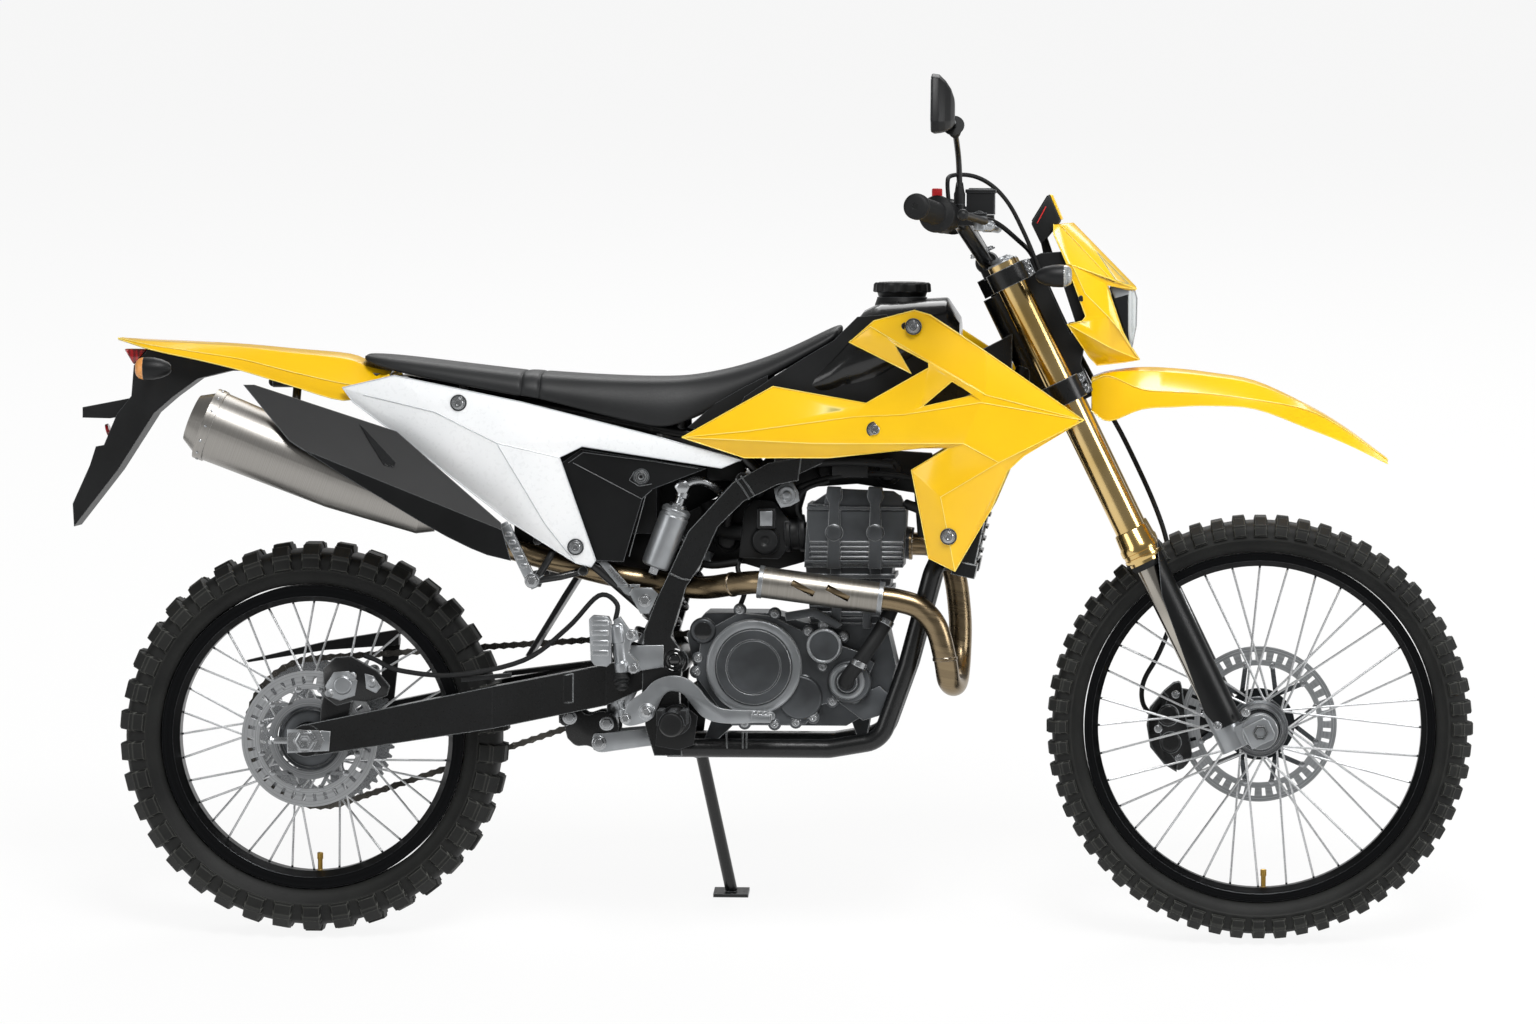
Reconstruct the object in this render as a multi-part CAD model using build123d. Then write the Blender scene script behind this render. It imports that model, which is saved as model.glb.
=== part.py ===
# Dual sport motorcycle, modelled upright and then leaned on its side stand.
#
# Upright frame, millimetres: X forward from the rear axle, Y to the rider's left, Z up from the ground.
# Every piece is one function; a steering piece is drawn in the fork's own frame, where X runs ahead of the
# front axle, Z up along the fork tubes and the origin is the front axle's middle.
from build123d import *
from math import asin, atan2, cos, degrees, hypot, pi, radians, sin, tan
import os

# ---------------------------------------------------------------- driving dimensions
WHEELBASE = 1528
LEAN = 10                       # degrees to the left, on the side stand
RAKE = 26                       # degrees of the fork from upright

FRONT_R, FRONT_LUG, FRONT_HALF, FRONT_LUGS = 342, 10, 46, 36
FRONT_RIM_IN, FRONT_RIM_OUT, FRONT_RIM_HALF = 259, 281, 24
REAR_R, REAR_LUG, REAR_HALF, REAR_LUGS = 317, 13, 56, 28
REAR_RIM_IN, REAR_RIM_OUT, REAR_RIM_HALF = 219, 246, 34
CENTRE_KNOB_HALF = 18           # half width of a middle tread knob at its foot
KNOB_DRAFT = 3                  # a knob's wall leans in by this much to its tip
SPOKES, SPOKE_R, SPOKE_SWEEP = 36, 1.8, 55
SPOKE_STAGGER = 6               # in and out of the hub flange, so that crossed spokes pass each other

AXLE_R, AXLE_BORE = 10, 6
FRONT_HUB_R, FRONT_HUB_HALF, FRONT_FLANGE_R, FRONT_FLANGE_Y = 21, 71, 34, 36
REAR_HUB_R, REAR_HUB_HALF, REAR_FLANGE_R, REAR_FLANGE_Y = 28, 80, 44, 38
RUNNING = 0.5                   # a hub or bearing round its axle
FIT = 0.3                       # a piece seated on a curved neighbour
CLEAR = 5                       # a moving piece past a still one

FRONT_DISC_R, FRONT_DISC_IN, FRONT_DISC_Y = 126, 96, 58
REAR_DISC_R, REAR_DISC_IN, REAR_DISC_Y = 110, 84, -72
DISC_THICK = 4
DISC_HOLES, DISC_HOLE_R = 24, 4

CHAIN_PITCH, CHAIN_LINKS, CHAIN_Y = 15.875, 116, 70
REAR_TEETH, DRIVE_TEETH = 48, 14
CHAIN_HALF, CHAIN_ROOF = 7.2, 3.5
OUTER_LINK_HALF, INNER_LINK_HALF, CHAIN_SLOT_HALF = 7.5, 6, 4
SPROCKET_THICK = 5
DRIVE_ANGLE = 11.5              # of the line from rear axle to drive sprocket, above level

FORK_Y, FORK_OUTER_R, FORK_INNER_R = 100, 24, 20
AXLE_LEAD, STEM_BACK = 47, 28   # axle ahead of the fork tubes, steering stem behind them
FORK_FOOT_Z, FORK_OVERLAP_Z, FORK_TOP_Z = 26, 322, 850
FORK_SOCKET = 60
LOWER_CLAMP, UPPER_CLAMP = (603, 641), (811, 841)
STEM_R, HEAD_R = 13, 27
BAR_R, GRIP_R = 11, 17
BAR_MOUNT, RISER_Y = (-69, 862), 52     # handlebar's middle in the fork's frame, half the risers' spacing
BAR_BEND, BAR_END = (1048, 170, 1150), (987, 405, 1174)
GRIP_Y, LEVER_Y = (288, 411), 236
MIRROR_X, MIRROR_Y, MIRROR_Z = 1011, -368, 1333
MIRROR_BOSS = 22                # height of the perch's boss that the mirror screws into
MIRROR_THREAD_R = 4.25          # drilled for an M10 mirror thread, empty on the left
COWL_X = (1190, 1340)
INDICATOR_R, INDICATOR_Y = 18, 148
LAMP_HALF = 56                  # half width of the headlight's housing, between its bracket's plates

FRAME_Y, TUBE_R = 88, 15
SPAR_IN, SPAR_OUT = 79, 103
PIVOT = (591, 446)
SHOCK_TOP, SHOCK_FOOT = (648, 676), (478, 342)
ROCKER_PIN, LINK_FRONT = (410, 346), (598, 318)
SUBFRAME_Y, SUBFRAME_R = 78, 9
ENGINE_HALF = 72
PIPE_R, PIPE_Y = 17, -125
SILENCER_Y, SILENCER_R, SILENCER_FRONT_R = -134, 57, 38
SILENCER_BACK, SILENCER_NOSE = (-150, 824), (222, 676)

STAND_PIVOT = (615, 118, 296)
STAND_FOOT = (662, 240)
STAND_TILT = 19                 # degrees of the stand's hinge above level
STAND_BOSS, STAND_LEG_R = 26, 10
PANEL = 3                       # thickness of the plastics
CAP = (951, 1031)               # fuel cap's seat on the tank's neck, X and Z

CABLE_R, HOSE_R = 3.5, 4
THROTTLE_CABLE = [              # from the throttle's housing over the reservoir to the lamp bracket
    (1034, -262, 1180), (1030, -257, 1212), (1034, -222, 1226), (1080, -196, 1224), (1122, -150, 1190),
    (1152, -98, 1128), (1168, -84, 1088), (1176, -74, 1066), (1176, -59, 1060)]
BRAKE_HOSE = [                  # from the master cylinder across to the left leg and down to the caliper
    (1081, -175, 1157), (1082, -140, 1158), (1108, -96, 1150), (1141, -50, 1120), (1149, 20, 1112),
    (1154, 62, 1106), (1168, 73, 1084), (1196, 80, 1020), (1238, 80, 934), (1254, 73, 905), (1284, 74, 846),
    (1310, 88, 800), (1362, 86, 690), (1384, 71, 620), (1392, 69, 520), (1366, 70, 450), (1340, 76, 410),
    (1338, 88, 374), (1352, 91, 354), (1372, 88, 350), (1376, 73, 350)]

pieces = {}

PORT_ROOT, PORT = Vector(945.4, 0, 637.6), Vector(968, 0, 634)   # exhaust port on the head

# ---------------------------------------------------------------- frames and helpers
ahead = (cos(radians(RAKE)), 0, sin(radians(RAKE)))
along = (-sin(radians(RAKE)), 0, cos(radians(RAKE)))
FORK = Plane(origin=(WHEELBASE, 0, FRONT_R), x_dir=ahead, z_dir=along).location
TUBE_X = -AXLE_LEAD
STEM_X = -AXLE_LEAD - STEM_BACK
SIDE = Plane.XZ                 # drawn in X and Z; its normal points to the rider's right


def both(shape):
    """A piece and its mirror image on the other side."""
    return [shape, shape.mirror(Plane.XZ)]


def slab(points, y0, y1):
    """A side outline in X and Z, made solid from y0 to y1."""
    face = make_face(SIDE * Polyline(*points, close=True))
    return Pos(0, max(y0, y1), 0) * extrude(face, abs(y1 - y0), dir=(0, -1, 0))


def plan_band(points, thick, z0, z1):
    """A wall that follows points in X and Y, thick on its inner side, from z0 to z1."""
    outer = Polyline(*points)
    inner = Polyline(*[(x, y - thick if y > 0 else y + thick) for x, y in points])
    face = make_face(outer + inner + Line(outer @ 0, inner @ 0) + Line(outer @ 1, inner @ 1))
    return Pos(0, 0, z0) * extrude(face, z1 - z0)


def rod(start, end, radius):
    """A round bar between two points."""
    return Solid.make_cylinder(radius, (Vector(end) - Vector(start)).length,
                               Plane(origin=start, z_dir=Vector(end) - Vector(start)))


def tube(points, radius, bends):
    """A round tube along straight runs joined by arcs."""
    path = FilletPolyline(*points, radius=bends)
    start = Plane(origin=path @ 0, z_dir=path % 0)
    return sweep(start * Circle(radius), path=path)


def turned(profile, x, z):
    """A profile of radius and Y, turned about the wheel axis through x, z."""
    face = make_face(Polyline(*[(r, 0, y) for r, y in profile], close=True))
    return Pos(x, 0, z) * Rot(-90, 0, 0) * revolve(face, Axis.Z)


def disc(x, z, radius, y0, y1):
    """A round plate or boss across the machine."""
    return rod((x, min(y0, y1), z), (x, max(y0, y1), z), radius)


def block(x0, x1, y0, y1, z0, z1):
    """A box between its faces."""
    return Pos((x0 + x1) / 2, (y0 + y1) / 2, (z0 + z1) / 2) * Box(x1 - x0, y1 - y0, z1 - z0)


def ruled(sections):
    """A solid through flat outlines, straight between them."""
    return Solid.make_loft([Wire.make_polygon([Vector(*p) for p in s]) for s in sections], True)


def arch(x, top, edge, half, thick=PANEL):
    """A fender's cross-section: an arch from edge to edge, with its crown at the top."""
    crease = top - (top - edge) * 0.32
    outer = [(x, -half, edge), (x, -half * 0.86, crease), (x, 0, top),
             (x, half * 0.86, crease), (x, half, edge)]
    inner = [(x, half - thick, edge), (x, half * 0.86 - thick, crease - thick), (x, 0, top - thick),
             (x, thick - half * 0.86, crease - thick), (x, thick - half, edge)]
    return outer + inner


def hinge(offset):
    """A point on the side stand's hinge, out along its axis."""
    return Vector(*STAND_PIVOT) + Vector(0, cos(radians(STAND_TILT)), sin(radians(STAND_TILT))) * offset


def ground(y):
    """Height at y of the ground that the tyres stand on when the machine leans."""
    lug_edge = (CENTRE_KNOB_HALF - KNOB_DRAFT) * sin(radians(LEAN))
    facet = FRONT_R * (1 - cos(pi / FRONT_LUGS / 2)) * cos(radians(LEAN))
    return (y * sin(radians(LEAN)) - lug_edge + facet) / cos(radians(LEAN))


def add(name, *shapes, place=Location()):
    """Keep a finished piece, as the solids of one node."""
    flat = [s for shape in shapes for s in (shape if isinstance(shape, list) else [shape])]
    pieces[name] = [place * solid for shape in flat for solid in shape.solids()]


def trimmed(shape, *names):
    """A shape cut back to the faces of the finished pieces that it sits against."""
    return shape.cut(*[solid for name in names for solid in pieces[name]])


# ---------------------------------------------------------------- wheels
def lugged_tyre(radius, lug, half, rim_out, rim_half, lugs):
    """A knobby tyre: shoulder knobs and middle knobs take turns round the carcass, in flat facets."""
    base = radius - lug
    bead = (rim_out + FIT) / cos(pi / lugs / 2)
    mid = CENTRE_KNOB_HALF
    wall = [(rim_half, bead), (half - 2, (bead + base) / 2), (half - 2, base - lug)]
    knob = [(half, base + lug * 0.25), (mid + KNOB_DRAFT, radius - lug * 0.25)]
    groove = [(mid, base)]
    rise = [(mid - KNOB_DRAFT, radius)]

    def closed(right):
        """A whole outline in Y and radius from its right half."""
        return right + [(-y, r) for y, r in reversed(right)]

    shoulder_ring = closed(wall + knob + groove)
    middle_ring = closed(wall + groove + rise)
    shoulder_end = wall[-1:] + knob + groove
    ends = [shoulder_end, [(-y, r) for y, r in shoulder_end], closed(groove + rise)]

    def place(outline, angle):
        return [Vector(r * sin(angle), y, r * cos(angle)) for y, r in outline]

    faces = []
    step = pi / lugs
    for i in range(2 * lugs):
        ring = shoulder_ring if i % 2 else middle_ring
        near, far = place(ring, (i - 0.5) * step), place(ring, (i + 0.5) * step)
        for j in range(len(ring)):
            faces.append([near[j - 1], near[j], far[j], far[j - 1]])
        faces += [place(end, (i + 0.5) * step) for end in ends]
    shell = Face.sew_faces([Face(Wire.make_polygon(face)) for face in faces])[0]
    return Solid(Shell(shell))


def wire_wheel(rim_in, rim_out, rim_half, hub_r, hub_half, flange_r, flange_y):
    """Rim, crossed spokes and hub in one piece, about the origin."""
    rim = turned([(rim_in, -rim_half * 0.45), (rim_in, rim_half * 0.45), (rim_in + 9, rim_half),
                  (rim_out, rim_half), (rim_out, -rim_half), (rim_in + 9, -rim_half)], 0, 0)
    bore = AXLE_R + RUNNING
    barrel = [(bore, -hub_half), (bore, hub_half), (hub_r, hub_half), (hub_r, flange_y + 5),
              (flange_r, flange_y + 5), (flange_r, flange_y - 5), (hub_r - 2, flange_y - 9),
              (hub_r - 2, 9 - flange_y), (flange_r, 5 - flange_y), (flange_r, -flange_y - 5),
              (hub_r, -flange_y - 5), (hub_r, -hub_half)]
    hub = turned(barrel, 0, 0)
    spokes = []
    for i in range(SPOKES):
        side = 1 if i % 2 else -1
        lay = 1 if i // 2 % 2 else -1
        rim_angle = radians(i * 360 / SPOKES)
        hub_angle = rim_angle + lay * radians(SPOKE_SWEEP)
        foot_r, head_r = flange_r - 4, rim_in + 3
        foot_y = side * (flange_y + lay * SPOKE_STAGGER / 2)
        head_y = side * rim_half * 0.2
        foot = (foot_r * sin(hub_angle), foot_y, foot_r * cos(hub_angle))
        head = (head_r * sin(rim_angle), head_y, head_r * cos(rim_angle))
        spokes.append(rod(foot, head, SPOKE_R))
    return rim.fuse(hub, *spokes)


def brake_disc(radius, inner, y, hub_r, arms):
    """A drilled disc on a carrier of arms that reaches in to the hub."""
    ring = disc(0, 0, radius, y - DISC_THICK / 2, y + DISC_THICK / 2)
    ring -= disc(0, 0, inner, y - DISC_THICK, y + DISC_THICK)
    middle = (radius + inner) / 2
    holes = [Rot(0, i * 360 / DISC_HOLES, 0) * disc(middle + (4 if i % 2 else -4), 0, DISC_HOLE_R,
                                                    y - DISC_THICK, y + DISC_THICK)
             for i in range(DISC_HOLES)]
    ring = ring.cut(*holes)
    carrier = disc(0, 0, hub_r + 14, y - DISC_THICK / 2, y + DISC_THICK / 2)
    spider = [Rot(0, i * 360 / arms, 0) * block(-8, 8, y - DISC_THICK / 2, y + DISC_THICK / 2, hub_r, inner + 3)
              for i in range(arms)]
    return ring.fuse(carrier, *spider).cut(disc(0, 0, hub_r + FIT, y - DISC_THICK, y + DISC_THICK))


# ---------------------------------------------------------------- chain drive
REAR_PITCH_R = CHAIN_PITCH / 2 / sin(pi / REAR_TEETH)
DRIVE_PITCH_R = CHAIN_PITCH / 2 / sin(pi / DRIVE_TEETH)


def chain_centres():
    """Distance between the two sprockets that suits the chain's number of links, and its runs' slope."""
    slope = 0
    for _ in range(20):
        wrapped = REAR_PITCH_R * (pi + 2 * slope) + DRIVE_PITCH_R * (pi - 2 * slope)
        distance = (CHAIN_LINKS * CHAIN_PITCH - wrapped) / 2 / cos(slope)
        slope = asin((REAR_PITCH_R - DRIVE_PITCH_R) / distance)
    return distance, slope


CENTRES, RUN_SLOPE = chain_centres()
DRIVE_X = CENTRES * cos(radians(DRIVE_ANGLE))
DRIVE_Z = REAR_R + CENTRES * sin(radians(DRIVE_ANGLE))


def chain_pins():
    """Each pin's place in X and Z with the outward direction there, from the back of the rear sprocket."""
    upper = RUN_SLOPE - radians(DRIVE_ANGLE)
    lower = pi - RUN_SLOPE - radians(DRIVE_ANGLE)
    run = CENTRES * cos(RUN_SLOPE)
    rear_top = REAR_PITCH_R * (upper + pi / 2)
    drive_arc = DRIVE_PITCH_R * (lower - upper)
    pins = []
    for i in range(CHAIN_LINKS):
        s = i * CHAIN_PITCH
        if s < rear_top:
            angle, x, z, r = s / REAR_PITCH_R - pi / 2, 0, REAR_R, REAR_PITCH_R
        elif s < rear_top + run:
            angle, r = upper, REAR_PITCH_R
            x, z = (s - rear_top) * cos(upper), REAR_R - (s - rear_top) * sin(upper)
        elif s < rear_top + run + drive_arc:
            angle, x, z, r = upper + (s - rear_top - run) / DRIVE_PITCH_R, DRIVE_X, DRIVE_Z, DRIVE_PITCH_R
        elif s < rear_top + 2 * run + drive_arc:
            angle, r = lower, DRIVE_PITCH_R
            back = s - rear_top - run - drive_arc
            x, z = DRIVE_X + back * cos(lower), DRIVE_Z - back * sin(lower)
        else:
            angle, x, z, r = lower + (s - rear_top - 2 * run - drive_arc) / REAR_PITCH_R, 0, REAR_R, REAR_PITCH_R
        pins.append((x + r * sin(angle), z + r * cos(angle), sin(angle), cos(angle)))
    return pins


def chain():
    """One closed loop of links that widen and narrow in turn, open inwards where the sprocket's teeth stand."""
    pins = chain_pins()

    def place(i, height, y):
        x, z, dx, dz = pins[i % CHAIN_LINKS]
        return Vector(x + dx * height, CHAIN_Y + y, z + dz * height)

    top, roof, foot, slot = CHAIN_HALF, CHAIN_ROOF, -CHAIN_HALF, CHAIN_SLOT_HALF
    rings = []
    for i in range(CHAIN_LINKS):
        half = OUTER_LINK_HALF if i % 2 else INNER_LINK_HALF
        rings.append([place(i, h, y) for h, y in (
            (top, -half), (top, half), (foot, half), (foot, slot), (roof, slot),
            (roof, -slot), (foot, -slot), (foot, -half))])
    faces = []
    for i, near in enumerate(rings):
        far = rings[(i + 1) % CHAIN_LINKS]
        for j in range(len(near)):
            quad = [near[j - 1], near[j], far[j], far[j - 1]]
            if j in (0, 2):             # an outer side twists a little on its way round a sprocket
                faces += [quad[:3], [quad[0], *quad[2:]]]
            else:
                faces.append(quad)
    return Solid(Shell(Face.sew_faces([Face(Wire.make_polygon(face)) for face in faces])[0]))


def sprocket(teeth, thick, inner_r, holes, hole_r):
    """A toothed plate about the origin, whose teeth reach up between the chain's plates."""
    pitch_r = CHAIN_PITCH / 2 / sin(pi / teeth)
    points = []
    for i in range(teeth):
        for offset, r in ((-0.2, pitch_r - 5), (0.2, pitch_r - 5), (0.4, pitch_r + 2), (0.6, pitch_r + 2)):
            angle = (i + offset) * 2 * pi / teeth
            points.append((r * sin(angle), r * cos(angle)))
    plate = slab(points, CHAIN_Y - thick / 2, CHAIN_Y + thick / 2)
    ring_r = (pitch_r + inner_r) / 2
    cuts = [Rot(0, i * 360 / holes, 0) * disc(ring_r, 0, hole_r, CHAIN_Y - thick, CHAIN_Y + thick)
            for i in range(holes)]
    return plate.cut(disc(0, 0, inner_r, CHAIN_Y - thick, CHAIN_Y + thick), *cuts)


# ---------------------------------------------------------------- assemblies
def wheels():
    front = Pos(WHEELBASE, 0, FRONT_R)
    rear = Pos(0, 0, REAR_R)
    add("front_tyre", front * lugged_tyre(FRONT_R, FRONT_LUG, FRONT_HALF, FRONT_RIM_OUT, FRONT_RIM_HALF, FRONT_LUGS))
    add("rear_tyre", rear * lugged_tyre(REAR_R, REAR_LUG, REAR_HALF, REAR_RIM_OUT, REAR_RIM_HALF, REAR_LUGS))
    add("front_wire_wheel", front * wire_wheel(FRONT_RIM_IN, FRONT_RIM_OUT, FRONT_RIM_HALF,
                                               FRONT_HUB_R, FRONT_HUB_HALF, FRONT_FLANGE_R, FRONT_FLANGE_Y))
    add("rear_wire_wheel", rear * wire_wheel(REAR_RIM_IN, REAR_RIM_OUT, REAR_RIM_HALF,
                                             REAR_HUB_R, REAR_HUB_HALF, REAR_FLANGE_R, REAR_FLANGE_Y))
    add("front_disc", front * brake_disc(FRONT_DISC_R, FRONT_DISC_IN, FRONT_DISC_Y, FRONT_HUB_R, 6))
    add("rear_disc", rear * brake_disc(REAR_DISC_R, REAR_DISC_IN, REAR_DISC_Y, REAR_HUB_R, 5))
    add("rear_sprocket", rear * sprocket(REAR_TEETH, SPROCKET_THICK, REAR_HUB_R + FIT, 8, 16))


def fork():
    foot_r = FORK_INNER_R + 3
    outer, inner, feet, guards = [], [], [], []
    for side in (-1, 1):
        y = side * FORK_Y
        leg = Pos(TUBE_X, y, FORK_OVERLAP_Z) * Solid.make_cylinder(FORK_OUTER_R, FORK_TOP_Z - FORK_OVERLAP_Z)
        collar = Pos(TUBE_X, y, FORK_OVERLAP_Z) * Solid.make_cylinder(FORK_OUTER_R + 2, 24)
        socket = Pos(TUBE_X, y, FORK_OVERLAP_Z) * Solid.make_cylinder(FORK_INNER_R + FIT, FORK_SOCKET)
        outer.append(leg.fuse(collar).cut(socket))
        bottom = FORK_FOOT_Z + 24
        inner.append(Pos(TUBE_X, y, bottom)
                     * Solid.make_cylinder(FORK_INNER_R, FORK_OVERLAP_Z + FORK_SOCKET - FIT - bottom))
        cup = Pos(TUBE_X, y, -8) * Solid.make_cylinder(foot_r, FORK_FOOT_Z + 50)
        lug = Pos(0, y, 0) * Rot(90, 0, 0) * Cylinder(28, 2 * (foot_r - 1))
        web = Pos(TUBE_X / 2, y, 8) * Box(-TUBE_X, 2 * foot_r - 6, 34)
        hole = Pos(0, y, 0) * Rot(90, 0, 0) * Cylinder(AXLE_R, 4 * foot_r)
        bore = Pos(TUBE_X, y, bottom) * Solid.make_cylinder(FORK_INNER_R, 100)
        feet.append(cup.fuse(lug, web).cut(hole, bore))
        guards.append(fork_guard(side))
    add("fork_outer_tubes", outer, place=FORK)
    add("fork_inner_tubes", inner, place=FORK)
    add("fork_feet", feet, place=FORK)
    add("fork_guards", guards, place=FORK)


def fork_guard(side):
    """A wall round the front and outside of one lower leg, cut to its side outline."""
    outline = [(-58, 32), (-13, 30), (-3, 60), (8, 273), (3, 377), (-13, 354), (-47, 264), (-67, 66)]
    near, far = FORK_INNER_R + 5, FORK_INNER_R + 5 + PANEL
    shell = Cylinder(far + 2, 400) - Cylinder(near + 2, 400)
    band = Pos(TUBE_X, side * FORK_Y, 46) * (Cylinder(near + 3, 12) - Cylinder(FORK_INNER_R + 3 + FIT, 12))
    wall = (Pos(TUBE_X, side * FORK_Y, 200) * shell).fuse(band)
    side_cut = slab(outline, side * (FORK_Y - 6), side * (FORK_Y + far + 3))
    nose = slab([(x + 30, z) for x, z in outline], side * (FORK_Y - 20), side * (FORK_Y + far + 3))
    return wall & (side_cut + nose)


def clamps():
    """Upper and lower clamps joined by the steering stem, with the handlebar's risers on top."""
    shapes = []
    half = [(-45, 0), (-45, 62), (-36, 80), (-62, 80), (-76, 44), (-97, 20), (-97, 0)]   # ahead of the axle, and Y
    plan = Plane.XY * Polyline(*half, *[(x, -y) for x, y in reversed(half[1:-1])], close=True)
    for z0, z1 in (LOWER_CLAMP, UPPER_CLAMP):
        middle = Pos(0, 0, z0) * extrude(make_face(plan), z1 - z0)
        rings = [Pos(TUBE_X, s * FORK_Y, z0) * Solid.make_cylinder(FORK_OUTER_R + 8, z1 - z0) for s in (-1, 1)]
        ears = [Pos(TUBE_X + 34, s * (FORK_Y - 8), (z0 + z1) / 2) * Box(16, 16, z1 - z0 - 4) for s in (-1, 1)]
        holes = [Pos(TUBE_X, s * FORK_Y, z0) * Solid.make_cylinder(FORK_OUTER_R + FIT, z1 - z0) for s in (-1, 1)]
        shapes.append(middle.fuse(*rings, *ears).cut(*holes))
    stem = Pos(STEM_X, 0, LOWER_CLAMP[0]) * Solid.make_cylinder(STEM_R, UPPER_CLAMP[1] - LOWER_CLAMP[0])
    bar = Pos(BAR_MOUNT[0], 0, BAR_MOUNT[1])
    risers = [bar * Pos(0, s * RISER_Y, -12) * Box(30, 24, 26) for s in (-1, 1)]
    rings = [bar * Pos(0, s * RISER_Y, 0) * Rot(90, 0, 0) * Cylinder(BAR_R + 7, 24) for s in (-1, 1)]
    hole = bar * Rot(90, 0, 0) * Cylinder(BAR_R + FIT, 2 * FORK_Y)
    add("triple_clamps", shapes[0].fuse(shapes[1], stem, *risers, *rings).cut(hole), place=FORK)


def bar_point(y):
    """The handlebar's centre at y along its outer stretch."""
    t = (y - BAR_BEND[1]) / (BAR_END[1] - BAR_BEND[1])
    return Vector(*BAR_BEND) + t * (Vector(*BAR_END) - Vector(*BAR_BEND))


def mirrored(point):
    return (point[0], -point[1], point[2])


def handlebar():
    centre = FORK * Pos(BAR_MOUNT[0], 0, BAR_MOUNT[1])
    x, z = centre.position.X, centre.position.Z
    knee = (x, RISER_Y + 30, z)
    path = [BAR_END, BAR_BEND, knee, mirrored(knee), mirrored(BAR_BEND), mirrored(BAR_END)]
    add("handlebar", tube(path, BAR_R, 50))
    inner, outer = bar_point(GRIP_Y[0]), bar_point(GRIP_Y[1])
    sleeve = rod(inner, outer, GRIP_R)
    flange = rod(inner, bar_point(GRIP_Y[0] + 6), GRIP_R + 7)
    grip = sleeve.fuse(flange).cut(rod(bar_point(BAR_BEND[1] + 20), bar_point(BAR_END[1] + FIT), BAR_R + FIT))
    add("hand_grips", both(grip))
    switches = rod(bar_point(GRIP_Y[0] - 30), bar_point(GRIP_Y[0] - 1), 27)
    perch = rod(bar_point(LEVER_Y - 16), bar_point(GRIP_Y[0] - 10), BAR_R + 7)
    hole = rod(bar_point(BAR_BEND[1]), bar_point(BAR_END[1]), BAR_R + FIT)
    x, y, z = bar_point(LEVER_Y)
    arm = block(x, x + 62, y - 13, y + 13, z - 12, z + 8)
    boss = rod((x + 19, y, z), (x + 19, y, z + MIRROR_BOSS), 9)
    blade = tube([(x + 52, y, z - 3), (x + 62, y + 60, z - 6), (x + 30, y + 185, z + 4)], 6, 90)
    tip = Pos(x + 30, y + 185, z + 4) * Sphere(9)
    control = switches.fuse(perch, arm, boss, blade, tip).cut(hole)
    reservoir = block(x + 30, x + 74, -y - 4, 52 - y, z + 6, z + 42)
    cylinder = rod((x + 50, -y - 8, z), (x + 50, 62 - y, z), 11)
    thread = rod((x + 19, y, z + 2), (x + 19, y, z + MIRROR_BOSS + 1), MIRROR_THREAD_R)
    right = control.mirror(Plane.XZ).fuse(reservoir, cylinder).cut(hole.mirror(Plane.XZ))
    add("hand_controls", control.cut(thread), right)


def cables():
    """The throttle's cable and the front brake's hose, each between its two seats."""
    add("throttle_cable", trimmed(tube(THROTTLE_CABLE, CABLE_R, 7), "hand_controls", "lamp_bracket"))
    add("brake_hose", trimmed(tube(BRAKE_HOSE, HOSE_R, 8), "hand_controls", "front_caliper"))


def mirror_arm():
    """The right mirror: a stem from the brake lever's perch and a head whose glass faces back."""
    x, y, z = bar_point(LEVER_Y)
    top = (x + 14, -y - 120, z + 142)
    socket = rod((x + 19, -y, z + MIRROR_BOSS + FIT), (x + 19, -y, z + MIRROR_BOSS + 26), 7.5)
    stem = tube([(x + 19, -y, z + 30), (x + 19, -y - 12, z + 76), top], 5, 40)
    glass = [(-46, -46), (62, -46), (72, -30), (52, 40), (30, 46), (-40, 30)]
    back = [(-26, -30), (44, -30), (52, -20), (34, 4), (20, 8), (-20, 0)]
    head = ruled([[(MIRROR_X + dx, MIRROR_Y - a, MIRROR_Z + b) for a, b in outline]
                  for dx, outline in ((0, glass), (10, glass), (34, back))])
    add("mirror", socket.fuse(stem, head))


def headlight_and_cowl():
    """A mask with its lamp let into the lower front, carried by a bracket on the clamps."""
    outline = [(1195, 1148), (1195, 1133), (1216, 1086), (1247, 1002), (1242, 994), (1218, 990), (1253, 936),
               (1265, 923), (1309, 928), (1334, 932), (1328, 1045), (1226, 1152)]
    hollow = [(1150, 1160), (1208, 1160), (1222, 1146), (1321, 1042), (1326, 937), (1150, 937)]
    window = [(1281, 1051), (1345, 1046), (1345, 948), (1320, 950), (1306, 978)]
    lens = [(1282, 1050), (1326, 1045), (1330, 1030), (1329, 986), (1323, 951), (1321, 951), (1307, 978)]
    lamp_back = [(1240, 1036), (1292, 1036), (1314, 978), (1322, 956), (1250, 956)]
    rear = [(50, 1160), (92, 1062), (104, 990), (62, 915)]
    front = [(26, 1160), (62, 1062), (72, 985), (44, 915)]

    def mask(grow):
        sections = []
        for x, side in ((COWL_X[0], rear), (COWL_X[1], front)):
            right = [(x, y + grow, z) for y, z in side]
            sections.append(right + [mirrored(p) for p in reversed(right)])
        return ruled(sections)

    shell = (slab(outline, -120, 120) & mask(0)) - (slab(hollow, -120, 120) & mask(-PANEL))
    posts = [disc(1240, 1030, 5, s * (LAMP_HALF + 4 + FIT), s * 110) & mask(-1) for s in (-1, 1)]
    add("headlight_cowl", (shell - slab(window, -120, 120)).fuse(*posts))
    housing = slab(lamp_back, FIT - LAMP_HALF, LAMP_HALF - FIT)
    add("headlight", (slab(lens, -120, 120) & mask(-FIT)).fuse(housing))


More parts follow.
